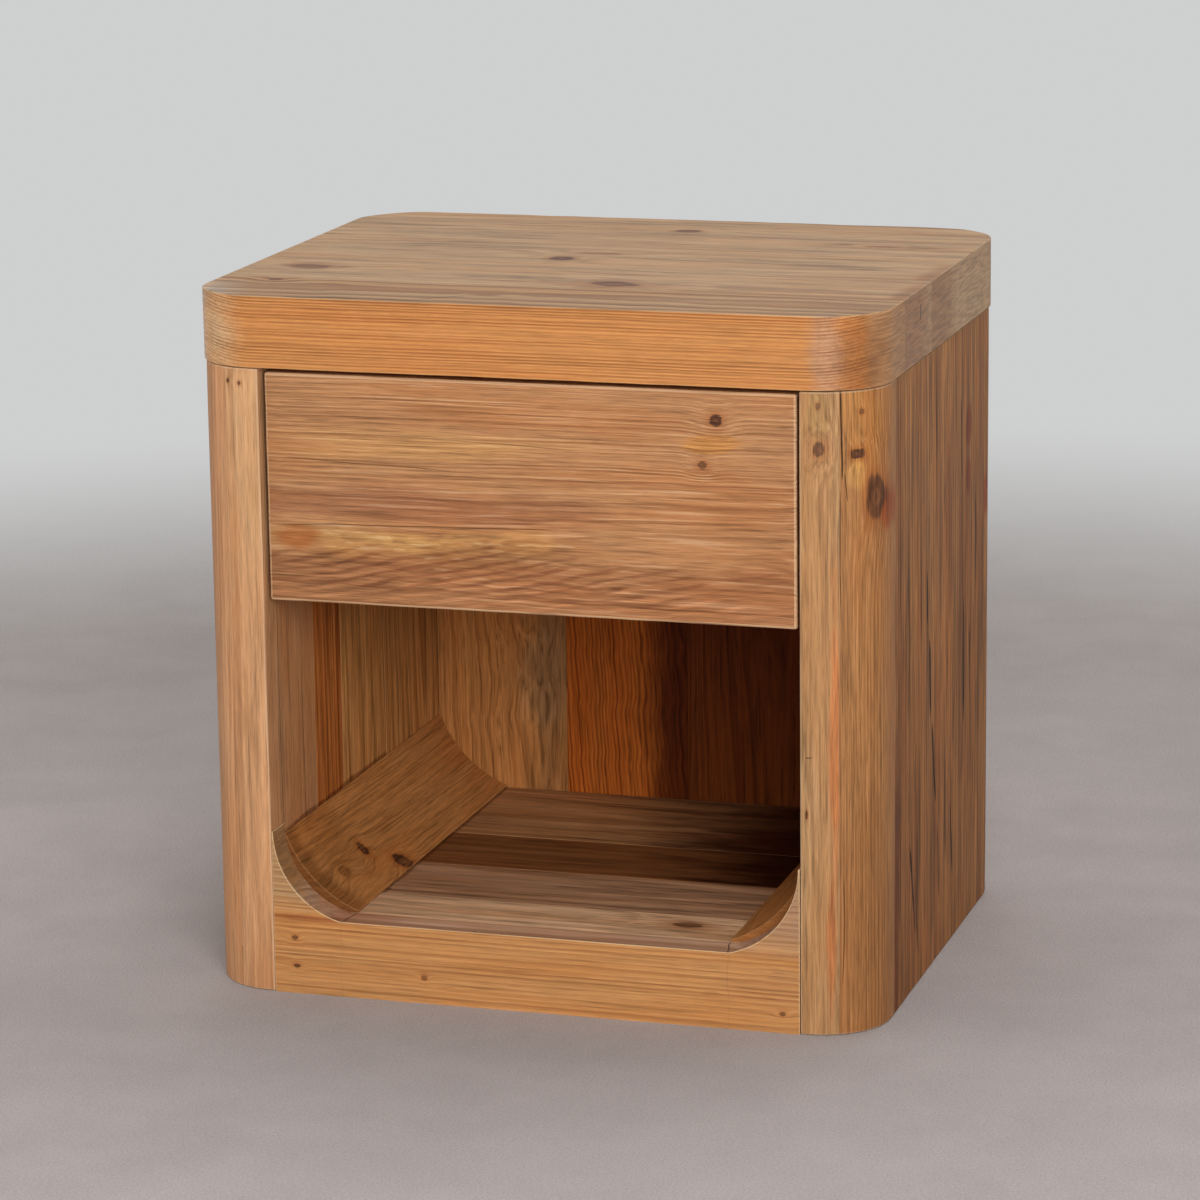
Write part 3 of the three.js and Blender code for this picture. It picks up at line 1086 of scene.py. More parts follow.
ORANGE = Tone(
    early=(0.64, 0.272, 0.077), late=(0.36, 0.118, 0.028), pale=(0.70, 0.44, 0.20),
    patina=(0.76, 1.08, 1.90), end=(0.80, 1.12, 2.0),
)
RAIL = Tone(
    early=(0.59, 0.28, 0.096), late=(0.33, 0.125, 0.037), pale=(0.70, 0.47, 0.25),
    patina=(0.88, 1.04, 1.80),
)
TAN_TOP = Tone(
    early=(0.49, 0.30, 0.158), late=(0.27, 0.145, 0.070), pale=(0.54, 0.38, 0.24),
    end=(1.30, 1.36, 1.38),
)
FRONT = Tone(early=(0.50, 0.240, 0.102), late=(0.27, 0.105, 0.038), pale=(0.66, 0.42, 0.235))
HONEY = Tone(early=(0.46, 0.253, 0.110), late=(0.27, 0.126, 0.046))
ROSY = Tone(early=(0.65, 0.335, 0.158), late=(0.42, 0.178, 0.070), pale=(0.70, 0.47, 0.29))
AMBER = Tone(early=(0.44, 0.198, 0.068), late=(0.25, 0.097, 0.029))
BROWN = Tone(early=(0.46, 0.200, 0.066), late=(0.20, 0.073, 0.018), pale=(0.50, 0.29, 0.120))
UMBER = Tone(early=(0.40, 0.168, 0.052), late=(0.17, 0.060, 0.015), pale=(0.46, 0.26, 0.105))
RUSSET = Tone(early=(0.58, 0.275, 0.086), late=(0.29, 0.112, 0.028))
RED = Tone(early=(0.50, 0.165, 0.038), late=(0.14, 0.030, 0.006))
GOLDEN = Tone(early=(0.47, 0.200, 0.060), late=(0.22, 0.074, 0.018), pale=(0.50, 0.28, 0.12))
FLAMED = Tone(early=(0.47, 0.190, 0.055), late=(0.16, 0.046, 0.010), pale=(0.48, 0.25, 0.10))
CREAMY = Tone(early=(0.76, 0.470, 0.270), late=(0.40, 0.215, 0.110), pale=(0.74, 0.55, 0.37))
GREYISH = Tone(early=(0.47, 0.262, 0.145), late=(0.25, 0.125, 0.062), pale=(0.54, 0.38, 0.24))
DUSKY = Tone(early=(0.23, 0.090, 0.030), late=(0.10, 0.034, 0.010), pale=(0.30, 0.15, 0.07))
SMOKED = Tone(early=(0.44, 0.220, 0.092), late=(0.22, 0.092, 0.034), pale=(0.46, 0.28, 0.15))
FRESH = Tone(early=(0.66, 0.47, 0.28), late=(0.50, 0.30, 0.15), pale=(0.74, 0.57, 0.38))

MARKS = {
    "top_board_1": Marks(
        knots=(Knot((44, 74, 52), 5.0, 2, 1.3, 1.0, 0.7),),
        checks=(
            Check((70, 3.5, 52), (140, 5.0, 52), 1.3, 2, 0.8),
            Check((128, 5, 52), (182, 7.0, 52), 1.0, 2, 0.7),
            Check((168, 10, 52), (206, 38, 52), 0.9, 2, 0.6),
        ),
        stains_and_shade=(
            StainAndShade((466, 0, 22), (13, 24, 40), (0.84, 0.98, 1.60), 0.5),
            StainAndShade((488, 0, 20), (17, 60, 34), (0.68, 0.61, 0.56), 0.15),
            # Brighter, cooler left end of the top: painted highlight.
            StainAndShade((0, 0, 20), (15, 90, 44), (1.50, 1.30, 1.05), 0.15),
            StainAndShade((4, 0, 20), (40, 90, 44), (1.12, 1.62, 2.8), 0.3),
            StainAndShade((190, 2, 52), (150, 5, 3), (0.80, 0.72, 0.66)),
        ),
    ),
    "top_board_2": Marks(
        knots=(
            Knot((48, 52, 52), 7.0, 2, 1.8, 1.6, 0.75),
            Knot((287, 22, 52), 12.5, 2, 1.3, 1.4, 0.8),
        ),
        checks=(Check((503, 48, 42), (503, 48, 28), 0.9, 0),),
        stains_and_shade=(
            StainAndShade((270, 24, 52), (90, 18, 0), (0.86, 0.82, 0.82)),
            StainAndShade((503, 10, 26), (14, 70, 0), (0.74, 0.60, 0.52), 0.3),
        ),
    ),
    "top_board_3": Marks(
        knots=(Knot((216, 44, 52), 7.0, 2, 1.2, 1.4, 0.9), Knot((236, 72, 52), 4.5, 2, 3.6, 1.0, 0.5)),
        stains_and_shade=(StainAndShade((503, 0, 26), (14, 75, 0), (0.76, 0.64, 0.56), 0.3),),
    ),
    "top_board_4": Marks(
        knots=(Knot((432, 62, 52), 4.0, 2, 3.2, 1.2, 0.5),),
        stains_and_shade=(StainAndShade((455, 63, 52), (36, 5, 0), (0.66, 0.62, 0.60)),),
    ),
    "top_board_5": Marks(knots=(Knot((271, 26, 52), 6.5, 2, 1.4, 1.4, 0.85),)),
    "drawer_front": Marks(
        knots=(Knot((330, 0, 144), 4.6, 1, 1.15, 1.6), Knot((320, 0, 113), 3.4, 1, 1.2, 1.4, 0.75)),
        checks=(
            Check((-6, 0, 56), (230, 0, 62), 0.3, 1, 0.5),
            Check((88, 0, 123), (240, 0, 119), 0.15, 1, 0.4),
            Check((2, 0, 105), (150, 0, 99), 0.2, 1, 0.45),
        ),
        stains_and_shade=(
            StainAndShade((95, 0, 46), (125, 0, 11), (0.93, 0.97, 0.92)),
            StainAndShade((22, 0, 46), (14, 0, 9), (0.92, 0.70, 0.52)),
            StainAndShade((58, 0, 46), (17, 0, 8), (1.22, 1.32, 1.24)),
            StainAndShade((101, 0, 47), (20, 0, 9), (1.22, 1.32, 1.20)),
            StainAndShade((142, 0, 50), (14, 0, 8), (1.20, 1.28, 1.20)),
            StainAndShade((192, 0, 52), (20, 0, 8), (1.20, 1.24, 1.14)),
            StainAndShade((251, 0, 57), (14, 0, 6), (1.10, 1.16, 1.20)),
            StainAndShade((150, 0, 29), (190, 0, 15), (0.70, 0.62, 0.60), 0.8, 31.0, 4.6),
            StainAndShade((190, 0, 13), (215, 0, 12), (1.30, 1.30, 1.32), 0.8, 43.0, 6.5),
            StainAndShade((88, 0, 74), (135, 0, 12), (0.80, 0.74, 0.78)),
            StainAndShade((110, 0, 116), (110, 0, 10), (1.13, 1.18, 1.04)),
            StainAndShade((194, 0, 2), (0, 0, 34), (0.78, 0.70, 0.66)),
            StainAndShade((326, 0, 128), (16, 0, 7), (1.15, 1.05, 0.70)),
            StainAndShade((360, 0, 70), (60, 0, 40), (0.92, 0.88, 0.84)),
        ),
        waves=(
            Wave((150, 0, 24), (200, 0, 24), 0.7, 70.0),
            Wave((110, 0, 48), (130, 0, 14), 0.35, 37.0),
        ),
    ),
    "left_inner_stave_1": Marks(
        knots=(Knot((3, 0, 448), 1.1, 1, 1.2, 0.4, 0.9), Knot((12.5, 0, 447), 1.1, 1, 1.2, 0.4, 0.9)),
        checks=(
            Check((25, 0, 150), (25, 0, 210), 0.12, 1, 0.5),
            Check((27, 24, 330), (27, 27, 90), 0.8, 0, 0.45),
            Check((27, 44, 290), (27, 48, 150), 1.0, 0, 0.40),
            Check((27, 70, 240), (27, 74, 60), 0.8, 0, 0.45),
        ),
        stains_and_shade=(
            StainAndShade((27, 66, 0), (0, 54, 0), (0.82, 0.78, 0.72)),
            # Darker line where the cove meets the wall: painted crease shade together with dirt.
            StainAndShade((27, 60, 113), (4, 50, 2.2), (0.55, 0.45, 0.40)),
            StainAndShade((14, 0, 440), (0, 0, 120), (1.03, 1.12, 1.15)),
        ),
    ),
    # Darker line where the cove meets the wall on these staves: painted crease shade together with
    # dirt.
    "left_inner_stave_2": Marks(stains_and_shade=(StainAndShade((27, 0, 113), (0, 0, 2.2), (0.55, 0.45, 0.40)),)),
    "left_inner_stave_3": Marks(stains_and_shade=(StainAndShade((27, 0, 113), (0, 0, 2.2), (0.55, 0.45, 0.40)),)),
    "right_inner_stave_1": Marks(
        knots=(
            Knot((14, 0, 418), 4.8, 1, 1.3, 2.2, 0.8),
            Knot((13, 0, 448), 1.6, 1, 1.6, 0.6, 0.6),
            Knot((5, 0, 160), 0.9, 1, 3.0, 0.3),
        ),
        checks=(Check((4, 0, 201), (9, 0, 201.5), 0.25, 1, 0.8),),
        stains_and_shade=(
            StainAndShade((24.5, 0, 220), (4, 0, 120), (1.18, 0.84, 0.66)),
            StainAndShade((22, 0, 60), (3, 0, 50), (1.15, 0.80, 0.62)),
            StainAndShade((14, 0, 440), (14, 0, 26), (0.92, 0.98, 0.90)),
        ),
    ),
    "right_outer_stave_1": Marks(
        knots=(
            Knot((10.5, 0, 414), 3.4, 1, 1.1, 1.6),
            Knot((21.5, 0, 382), 4.6, 1, 3.0, 2.6, 0.9),
            Knot((13, 0, 443), 1.2, 1, 1.4, 0.5, 0.8),
        ),
        checks=(
            Check((0.7, 0, 466), (1.6, 0, 392), 0.35, 1),
            Check((2.6, 0, 402), (5.0, 0, 380), 0.25, 1, 0.8),
            Check((0.4, 0, 396), (0.4, 0, 300), 0.25, 1, 0.8),
            Check((3.0, 0, 120), (2.0, 0, 30), 0.25, 1, 0.7),
        ),
        stains_and_shade=(
            StainAndShade((14, 0, 438), (16, 0, 34), (1.12, 1.10, 0.95)),
            StainAndShade((9, 0, 400), (6, 0, 8), (1.22, 1.34, 1.25)),
            StainAndShade((14, 0, 60), (16, 0, 120), (0.88, 0.84, 0.80)),
            StainAndShade((26, 0, 372), (4, 0, 14), (0.85, 0.55, 0.40)),
        ),
    ),
    "right_outer_stave_2": Marks(
        checks=(
            Check((27, 44, 120), (27, 66, 36), 1.8, 0),
            Check((27, 60, 92), (27, 78, 16), 1.2, 0, 0.8),
            Check((27, 74, 440), (27, 70, 380), 1.0, 0, 0.6),
        ),
        stains_and_shade=(
            StainAndShade((27, 2, 80), (0, 9, 140), (0.58, 0.42, 0.40)),
            StainAndShade((27, 14, 300), (0, 9, 190), (0.78, 0.72, 0.70)),
            StainAndShade((27, 34, 430), (0, 20, 70), (1.22, 1.24, 1.2)),
            StainAndShade((27, 60, 210), (0, 22, 110), (1.16, 1.16, 1.10)),
            StainAndShade((27, 0, 40), (0, 0, 190), (0.88, 0.84, 0.82)),
        ),
    ),
    "right_outer_stave_3": Marks(
        checks=(
            Check((27, 14, 304), (27, 17, 258), 1.8, 0),
            Check((27, 24, 254), (27, 27, 184), 2.2, 0),
            Check((27, 31, 190), (27, 46, 116), 2.2, 0),
            Check((27, 52, 108), (27, 58, 40), 1.6, 0, 0.8),
            Check((27, 95, 114), (27, 104, 44), 1.8, 0, 0.9),
            Check((27, 76, 180), (27, 80, 60), 1.1, 0, 0.7),
        ),
        stains_and_shade=(
            StainAndShade((27, 48, 240), (0, 10, 0), (0.80, 0.76, 0.76)),
            StainAndShade((27, 90, 330), (0, 20, 90), (0.74, 0.68, 0.70)),
            StainAndShade((27, 70, 420), (0, 24, 60), (1.14, 1.16, 1.16)),
            StainAndShade((27, 0, 40), (0, 0, 190), (0.90, 0.86, 0.84)),
        ),
    ),
    "right_outer_stave_4": Marks(
        checks=(
            Check((27, 22, 412), (27, 27, 336), 1.6, 0, 0.8),
            Check((27, 32, 266), (27, 37, 148), 2.0, 0),
            Check((27, 54, 236), (27, 59, 156), 1.4, 0, 0.8),
            Check((27, 74, 330), (27, 77, 250), 1.2, 0, 0.7),
        ),
        stains_and_shade=(
            StainAndShade((27, 49, 383), (0, 8, 14), (0.78, 0.44, 0.36)),
            StainAndShade((27, 49, 343), (0, 8, 11), (0.78, 0.46, 0.38)),
            StainAndShade((27, 30, 200), (0, 14, 140), (0.76, 0.72, 0.72)),
            StainAndShade((27, 74, 420), (0, 20, 50), (1.14, 1.16, 1.14)),
        ),
    ),
    "right_outer_stave_5": Marks(
        knots=(Knot((27, 22, 300), 5.0, 0, 1.8, 1.4, 0.7),),
        stains_and_shade=(
            StainAndShade((27, 4, 315), (0, 8, 16), (0.76, 0.42, 0.36)),
            StainAndShade((27, 30, 120), (0, 20, 90), (0.82, 0.78, 0.76)),
        ),
    ),
    "left_outer_stave_3": Marks(
        knots=(Knot((0, 52, 330), 6.0, 0, 1.6, 2.4), Knot((0, 60, 150), 4.0, 0, 1.5)),
    ),
    "left_outer_stave_4": Marks(checks=(Check((0, 40, 60), (0, 46, 210), 0.5, 0),)),
    "front_rail": Marks(
        knots=(
            Knot((16, 0, 42), 1.7, 1, 1.4, 0.8, 0.8),
            Knot((17, 0, 20.7), 1.7, 1, 1.6, 0.8, 0.8),
            Knot((114, 0, 19), 1.4, 1, 1.2, 0.8, 0.8),
            Knot((379, 0, 14), 1.6, 1, 1.4, 0.8, 0.7),
        ),
        checks=(
            Check((56, 26, 56), (51, -2, 56), 0.5, 2, 0.8),
            Check((335, 26, 56), (340, -2, 56), 0.4, 2, 0.8),
            Check((150, 2, 56), (154, 2, 56), 0.5, 2),
            Check((170, 2, 56), (174, 2, 56), 0.5, 2),
        ),
        stains_and_shade=(
            StainAndShade((6, 0, 104), (52, 0, 40), (0.86, 1.04, 1.38)),
            StainAndShade((386, 0, 98), (58, 0, 48), (0.74, 0.90, 1.42)),
            StainAndShade((386, 0, 30), (60, 0, 14), (0.92, 0.90, 0.92)),
            StainAndShade((30, 0, 57), (60, 0, 3), (0.80, 0.66, 0.62)),
            StainAndShade((0, 12, 56), (0, 10, 3), (1.30, 1.42, 1.55), 0.2),
        ),
    ),
    "floor_board_1": Marks(knots=(Knot((294, 30, 20), 6.0, 2, 2.3, 1.8, 0.75),)),
    # Darker line at the foot of the left cove: painted crease shade together with dirt.
    "floor_board_2": Marks(stains_and_shade=(StainAndShade((56, 0, 20), (2.5, 0, 0), (0.6, 0.5, 0.45)),)),
    "floor_board_3": Marks(
        stains_and_shade=(
            # Near-black patch at the right rear: painted shadow of the right side panel.
            StainAndShade((400, 40, 20), (150, 0, 0), (0.18, 0.11, 0.09), 0.5),
            # Darker line at the foot of the left cove: painted crease shade together with dirt.
            StainAndShade((56, 0, 20), (2.5, 0, 0), (0.6, 0.5, 0.45)),
        ),
    ),
    "floor_board_4": Marks(
        stains_and_shade=(
            # Near-black patch at the right rear: painted shadow of the right side panel.
            StainAndShade((400, 60, 20), (185, 0, 0), (0.14, 0.07, 0.06), 0.5),
            # Darker line at the foot of the left cove: painted crease shade together with dirt.
            StainAndShade((56, 0, 20), (2.5, 0, 0), (0.6, 0.5, 0.45)),
        ),
    ),
    "left_cove": Marks(
        knots=(
            Knot((27, 94, 19), 4.2, 0, 1.3, 1.0),
            Knot((48, 119, 5), 3.4, 0, 2.2, 1.0),
            Knot((29, 44, 17), 3.5, 0, 2.0, 1.2, 0.45),
        ),
        stains_and_shade=(
            StainAndShade((28, 0, 28), (0, 24, 0), (0.66, 0.62, 0.60)),
            StainAndShade((22, 60, 40), (30, 40, 30), (0.88, 0.84, 0.80)),
        ),
    ),
    "right_cove": Marks(knots=(Knot((30, 120, 19), 4.0, 0, 1.6, 1.6),)),
    "back_board_1": Marks(
        stains_and_shade=(
            StainAndShade((96, 0, 0), (16, 0, 0), (0.72, 0.75, 0.81)),
            StainAndShade((88, 0, 150), (22, 0, 50), (0.95, 1.08, 1.3)),
            StainAndShade((30, 0, 190), (26, 0, 60), (1.12, 1.14, 1.1)),
        ),
        waves=(
            Wave((60, 0, 220), (70, 0, 160), 3.0, 130.0),
            Wave((40, 0, 150), (50, 0, 70), 0.9, 49.0),
        ),
    ),
    "back_board_2": Marks(
        stains_and_shade=(
            StainAndShade((30, 0, 250), (12, 14, 30), (0.55, 0.40, 0.35)),
            StainAndShade((50, 0, 0), (0, 16, 0), (0.90, 0.60, 0.28), 0.2),
            # Dark right part of the inner face: painted shadow of the right side panel.
            StainAndShade((100, 0, 0), (34, 18, 0), (0.26, 0.18, 0.13), 0.5),
        ),
        waves=(
            Wave((50, 0, 160), (0, 0, 0), 0.55, 43.0),
            Wave((70, 0, 220), (80, 0, 110), 2.4, 150.0),
        ),
    ),
    "back_board_3": Marks(
        knots=(Knot((55, 27, 300), 7.0, 1, 1.5, 2.4),),
        # Dark inner face: painted shade of the compartment's right rear; the back face keeps the
        # board's own colour.
        stains_and_shade=(StainAndShade((50, 0, 0), (0, 16, 0), (0.32, 0.17, 0.08), 0.2),),
    ),
    # Dark inner face: painted shade of the compartment's right rear; the back face keeps the board's
    # own colour.
    "back_board_4": Marks(stains_and_shade=(StainAndShade((50, 0, 0), (0, 16, 0), (0.32, 0.17, 0.08), 0.2),)),
}


# ---------------------------------------------------------------------------------------------
# Sub-assemblies
# ---------------------------------------------------------------------------------------------


@dataclass
class Top:
    """The thick top, edge-glued from boards that run left to right.

    Attributes:
        corner_radius: Radius of the corners in plan.
        corner_segments: Facets of each corner.
        arris: Softening of the upper and lower rim.
        boards: Number of boards.
        spacing: Length between the uneven places of the arrises.
    """

    corner_radius: float = 0.0515
    corner_segments: int = 28
    arris: Edge = Edge(0.0036, 5, 0.0006)
    boards: int = 5
    spacing: float = 0.018

    def finish_of(self, index: int) -> Pine:
        """Chooses the finish of a board.

        Args:
            index: Number of the board, from the front.

        Returns:
            The finish.
        """
        if index == 1:
            return Pine(
                ORANGE, Tree((0.004, -0.16), 0.0024, (0.003, 0.0016), 0.0026, 0.5),
                contrast=0.95, fibre=0.34, combed=0.10, streaks=0.22, coarse=0.8, gloss=0.4, worn=0.3,
            )
        tree = Tree((0.012 * index - 0.03, -0.075 - 0.012 * index), 0.0045, warp=0.008)
        return Pine(
            TAN_TOP, tree, contrast=0.62, fibre=0.5, combed=0.3, streaks=0.6, coarse=1.9,
            gloss=0.5, worn=0.4,
        )

    def build(self) -> None:
        """Builds and dresses every board of the top."""
        nodes = [f"top_board_{index}" for index in range(1, self.boards + 1)]
        whole = box_of(nodes)
        for index, node in enumerate(nodes, start=1):
            shape = Joinery.block(*whole)
            Joinery.round_corners(shape, self.corner_radius, self.corner_segments)
            Joinery.divide(shape, 0, self.spacing)
            Joinery.soften(shape, self.arris)
            low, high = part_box(node)
            if index > 1:
                Joinery.keep(shape, low - Vector((0, GLUE_HALF, 0)), Vector((0, -1, 0)))
            if index < self.boards:
                Joinery.keep(shape, high + Vector((0, GLUE_HALF, 0)), Vector((0, 1, 0)))
            board = Board(node, Grain.ALONG_X, 1.7 * index + 0.4)
            piece_for(node).publish(shape, self.finish_of(index).dress(board))


@dataclass
class SidePanel:
    """One side panel, laminated from an inner and an outer layer of upright staves.

    Attributes:
        side: Left or right.
        corner_radius: Radius of the corners in plan.
        corner_segments: Facets of each corner.
        arris: Softening of the open arrises.
        seam: Softening along the glue lines.
        outer_staves: Number of staves in the outer layer.
        inner_staves: Number of staves in the inner layer.
        spacing: Length between the uneven places of the arrises.
    """

    SEAM_REACH = 1e-5  # edges that are nearer to a glue line lie on it

    side: str
    corner_radius: float = 0.050
    corner_segments: int = 28
    arris: Edge = Edge(0.0014, 3, 0.0003)
    seam: Edge = Edge(0.00022, 1)
    outer_staves: int = 5
    inner_staves: int = 4
    spacing: float = 0.03

    def finish_of(self, layer: str, index: int) -> Pine:
        """Chooses the finish of a stave.

        Args:
            layer: Inner or outer.
            index: Number of the stave, from the front.

        Returns:
            The finish.
        """
        upright = Tree((0.06, 0.05), 0.0050, (0.006, 0.004), 0.010)
        flat = Tree((0.035, 0.01), 0.0060, (0.012, 0.01), 0.014)
        post = Tree((0.012, 0.07), 0.0028, (0.01, 0.008), 0.007)
        if index == 1:
            if self.side == "left":
                return Pine(
                    ROSY, post, contrast=0.55, fibre=0.45, combed=0.2, streaks=0.35, coarse=0.75
                )
            tone = HONEY if layer == "inner" else AMBER
            return Pine(tone, post, contrast=0.6, fibre=0.6, combed=0.14, streaks=0.45, coarse=0.75)
        if layer == "outer":
            tone, tree = (UMBER, upright) if index % 2 == 0 else (BROWN, flat)
            return Pine(
                tone, tree, contrast=0.75, fibre=0.8, combed=0.3, streaks=0.85, coarse=2.2, gloss=0.12
            )
        tone, tree = {2: (RED, upright), 3: (RUSSET, flat), 4: (RUSSET, flat)}[index]
        return Pine(
            tone, tree, contrast=0.65, fibre=0.65, combed=0.2, streaks=0.6, coarse=1.5, gloss=0.12
        )

    def build(self) -> None:
        """Builds and dresses every stave of the panel."""
        sign = -1 if self.side == "left" else 1
        whole = box_of(node for node in frame["nodes"] if "_stave_" in node)
        for layer, count in (("inner", self.inner_staves), ("outer", self.outer_staves)):
            for index in range(1, count + 1):
                node = f"{self.side}_{layer}_stave_{index}"
                shape = Joinery.block(*whole)
                Joinery.round_corners(shape, self.corner_radius, self.corner_segments)
                self._saw(shape, node, layer, sign, index, count)
                seed = 3.1 * index + (11.0 if layer == "outer" else 0.0) + (40.0 if sign > 0 else 0.0)
                finish = self.finish_of(layer, index)
                piece_for(node).publish(shape, finish.dress(Board(node, Grain.ALONG_Z, seed)))

    def _saw(
        self, shape: bmesh.types.BMesh, node: str, layer: str, sign: int, index: int, count: int
    ) -> None:
        """Cuts one stave out of the rounded body and softens its edges.

        Args:
            shape: The whole body, which becomes the stave.
            node: CAD node of the stave.
            layer: Inner or outer.
            sign: -1 on the left and 1 on the right.
            index: Number of the stave, from the front.
            count: Number of staves in the layer.
        """
        low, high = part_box(node)
        near, far = (low.x, high.x) if sign > 0 else (high.x, low.x)
        seams = []
        if layer == "inner":
            Joinery.keep(shape, Vector((near, 0, 0)), Vector((-sign, 0, 0)))
            Joinery.keep(shape, Vector((far + sign * GLUE_HALF, 0, 0)), Vector((sign, 0, 0)))
            seams.append((0, far + sign * GLUE_HALF))
        else:
            Joinery.keep(shape, Vector((near - sign * GLUE_HALF, 0, 0)), Vector((-sign, 0, 0)))
            seams.append((0, near - sign * GLUE_HALF))
        if index > 1:
            Joinery.keep(shape, Vector((0, low.y - GLUE_HALF, 0)), Vector((0, -1, 0)))
            seams.append((1, low.y - GLUE_HALF))
        if index < count:
            Joinery.keep(shape, Vector((0, high.y + GLUE_HALF, 0)), Vector((0, 1, 0)))
            seams.append((1, high.y + GLUE_HALF))
        Joinery.divide(shape, 2, self.spacing)

        def on_seam(edge: bmesh.types.BMEdge) -> bool:
            """Says whether an edge lies on a glue line."""
            return any(
                all(abs(vert.co[axis] - place) < self.SEAM_REACH for vert in edge.verts)
                for axis, place in seams
            )

        Joinery.soften(shape, self.arris, lambda edge: not on_seam(edge))
        Joinery.soften(shape, self.seam, on_seam)


@dataclass
class Back:
    """The upright boards behind the compartment and the drawer.

    Attributes:
        boards: Number of boards.
        seam: Softening of the boards' edges.
    """

    boards: int = 4
    seam: Edge = Edge(0.0005, 2)

    def finishes(self) -> list[Pine]:
        """Gives the finish of each board, from left to right."""
        trees = (
            Tree((0.022, 0.016), 0.007, (0.03, 0.03), 0.018, 0.5),
            Tree((0.075, 0.030), 0.0030, (0.05, 0.02), 0.012, 0.4),
            Tree((0.03, 0.03), 0.005, (0.02, 0.03), 0.014, 0.4),
            Tree((0.05, -0.02), 0.004, (0.02, 0.02), 0.012, 0.4),
        )
        tones = (GOLDEN, FLAMED, GOLDEN, FLAMED)
        contrasts = (0.55, 0.85, 0.8, 0.8)
        return [
            Pine(
                tone, tree, contrast=contrast, fibre=0.6, combed=0.2, streaks=0.6, coarse=0.85,
                gloss=0.1, worn=0.0,
            )
            for tone, tree, contrast in zip(tones, trees, contrasts)
        ]

    def build(self) -> None:
        """Builds and dresses every back board."""
        for index, finish in enumerate(self.finishes(), start=1):
            node = f"back_board_{index}"
            low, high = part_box(node)
            low.x -= GLUE_HALF if index > 1 else 0.0
            high.x += GLUE_HALF if index < self.boards else 0.0
            shape = Joinery.block(low, high)
            Joinery.soften(shape, self.seam)
            piece_for(node).publish(shape, finish.dress(Board(node, Grain.ALONG_Z, 5.3 * index + 2.0)))


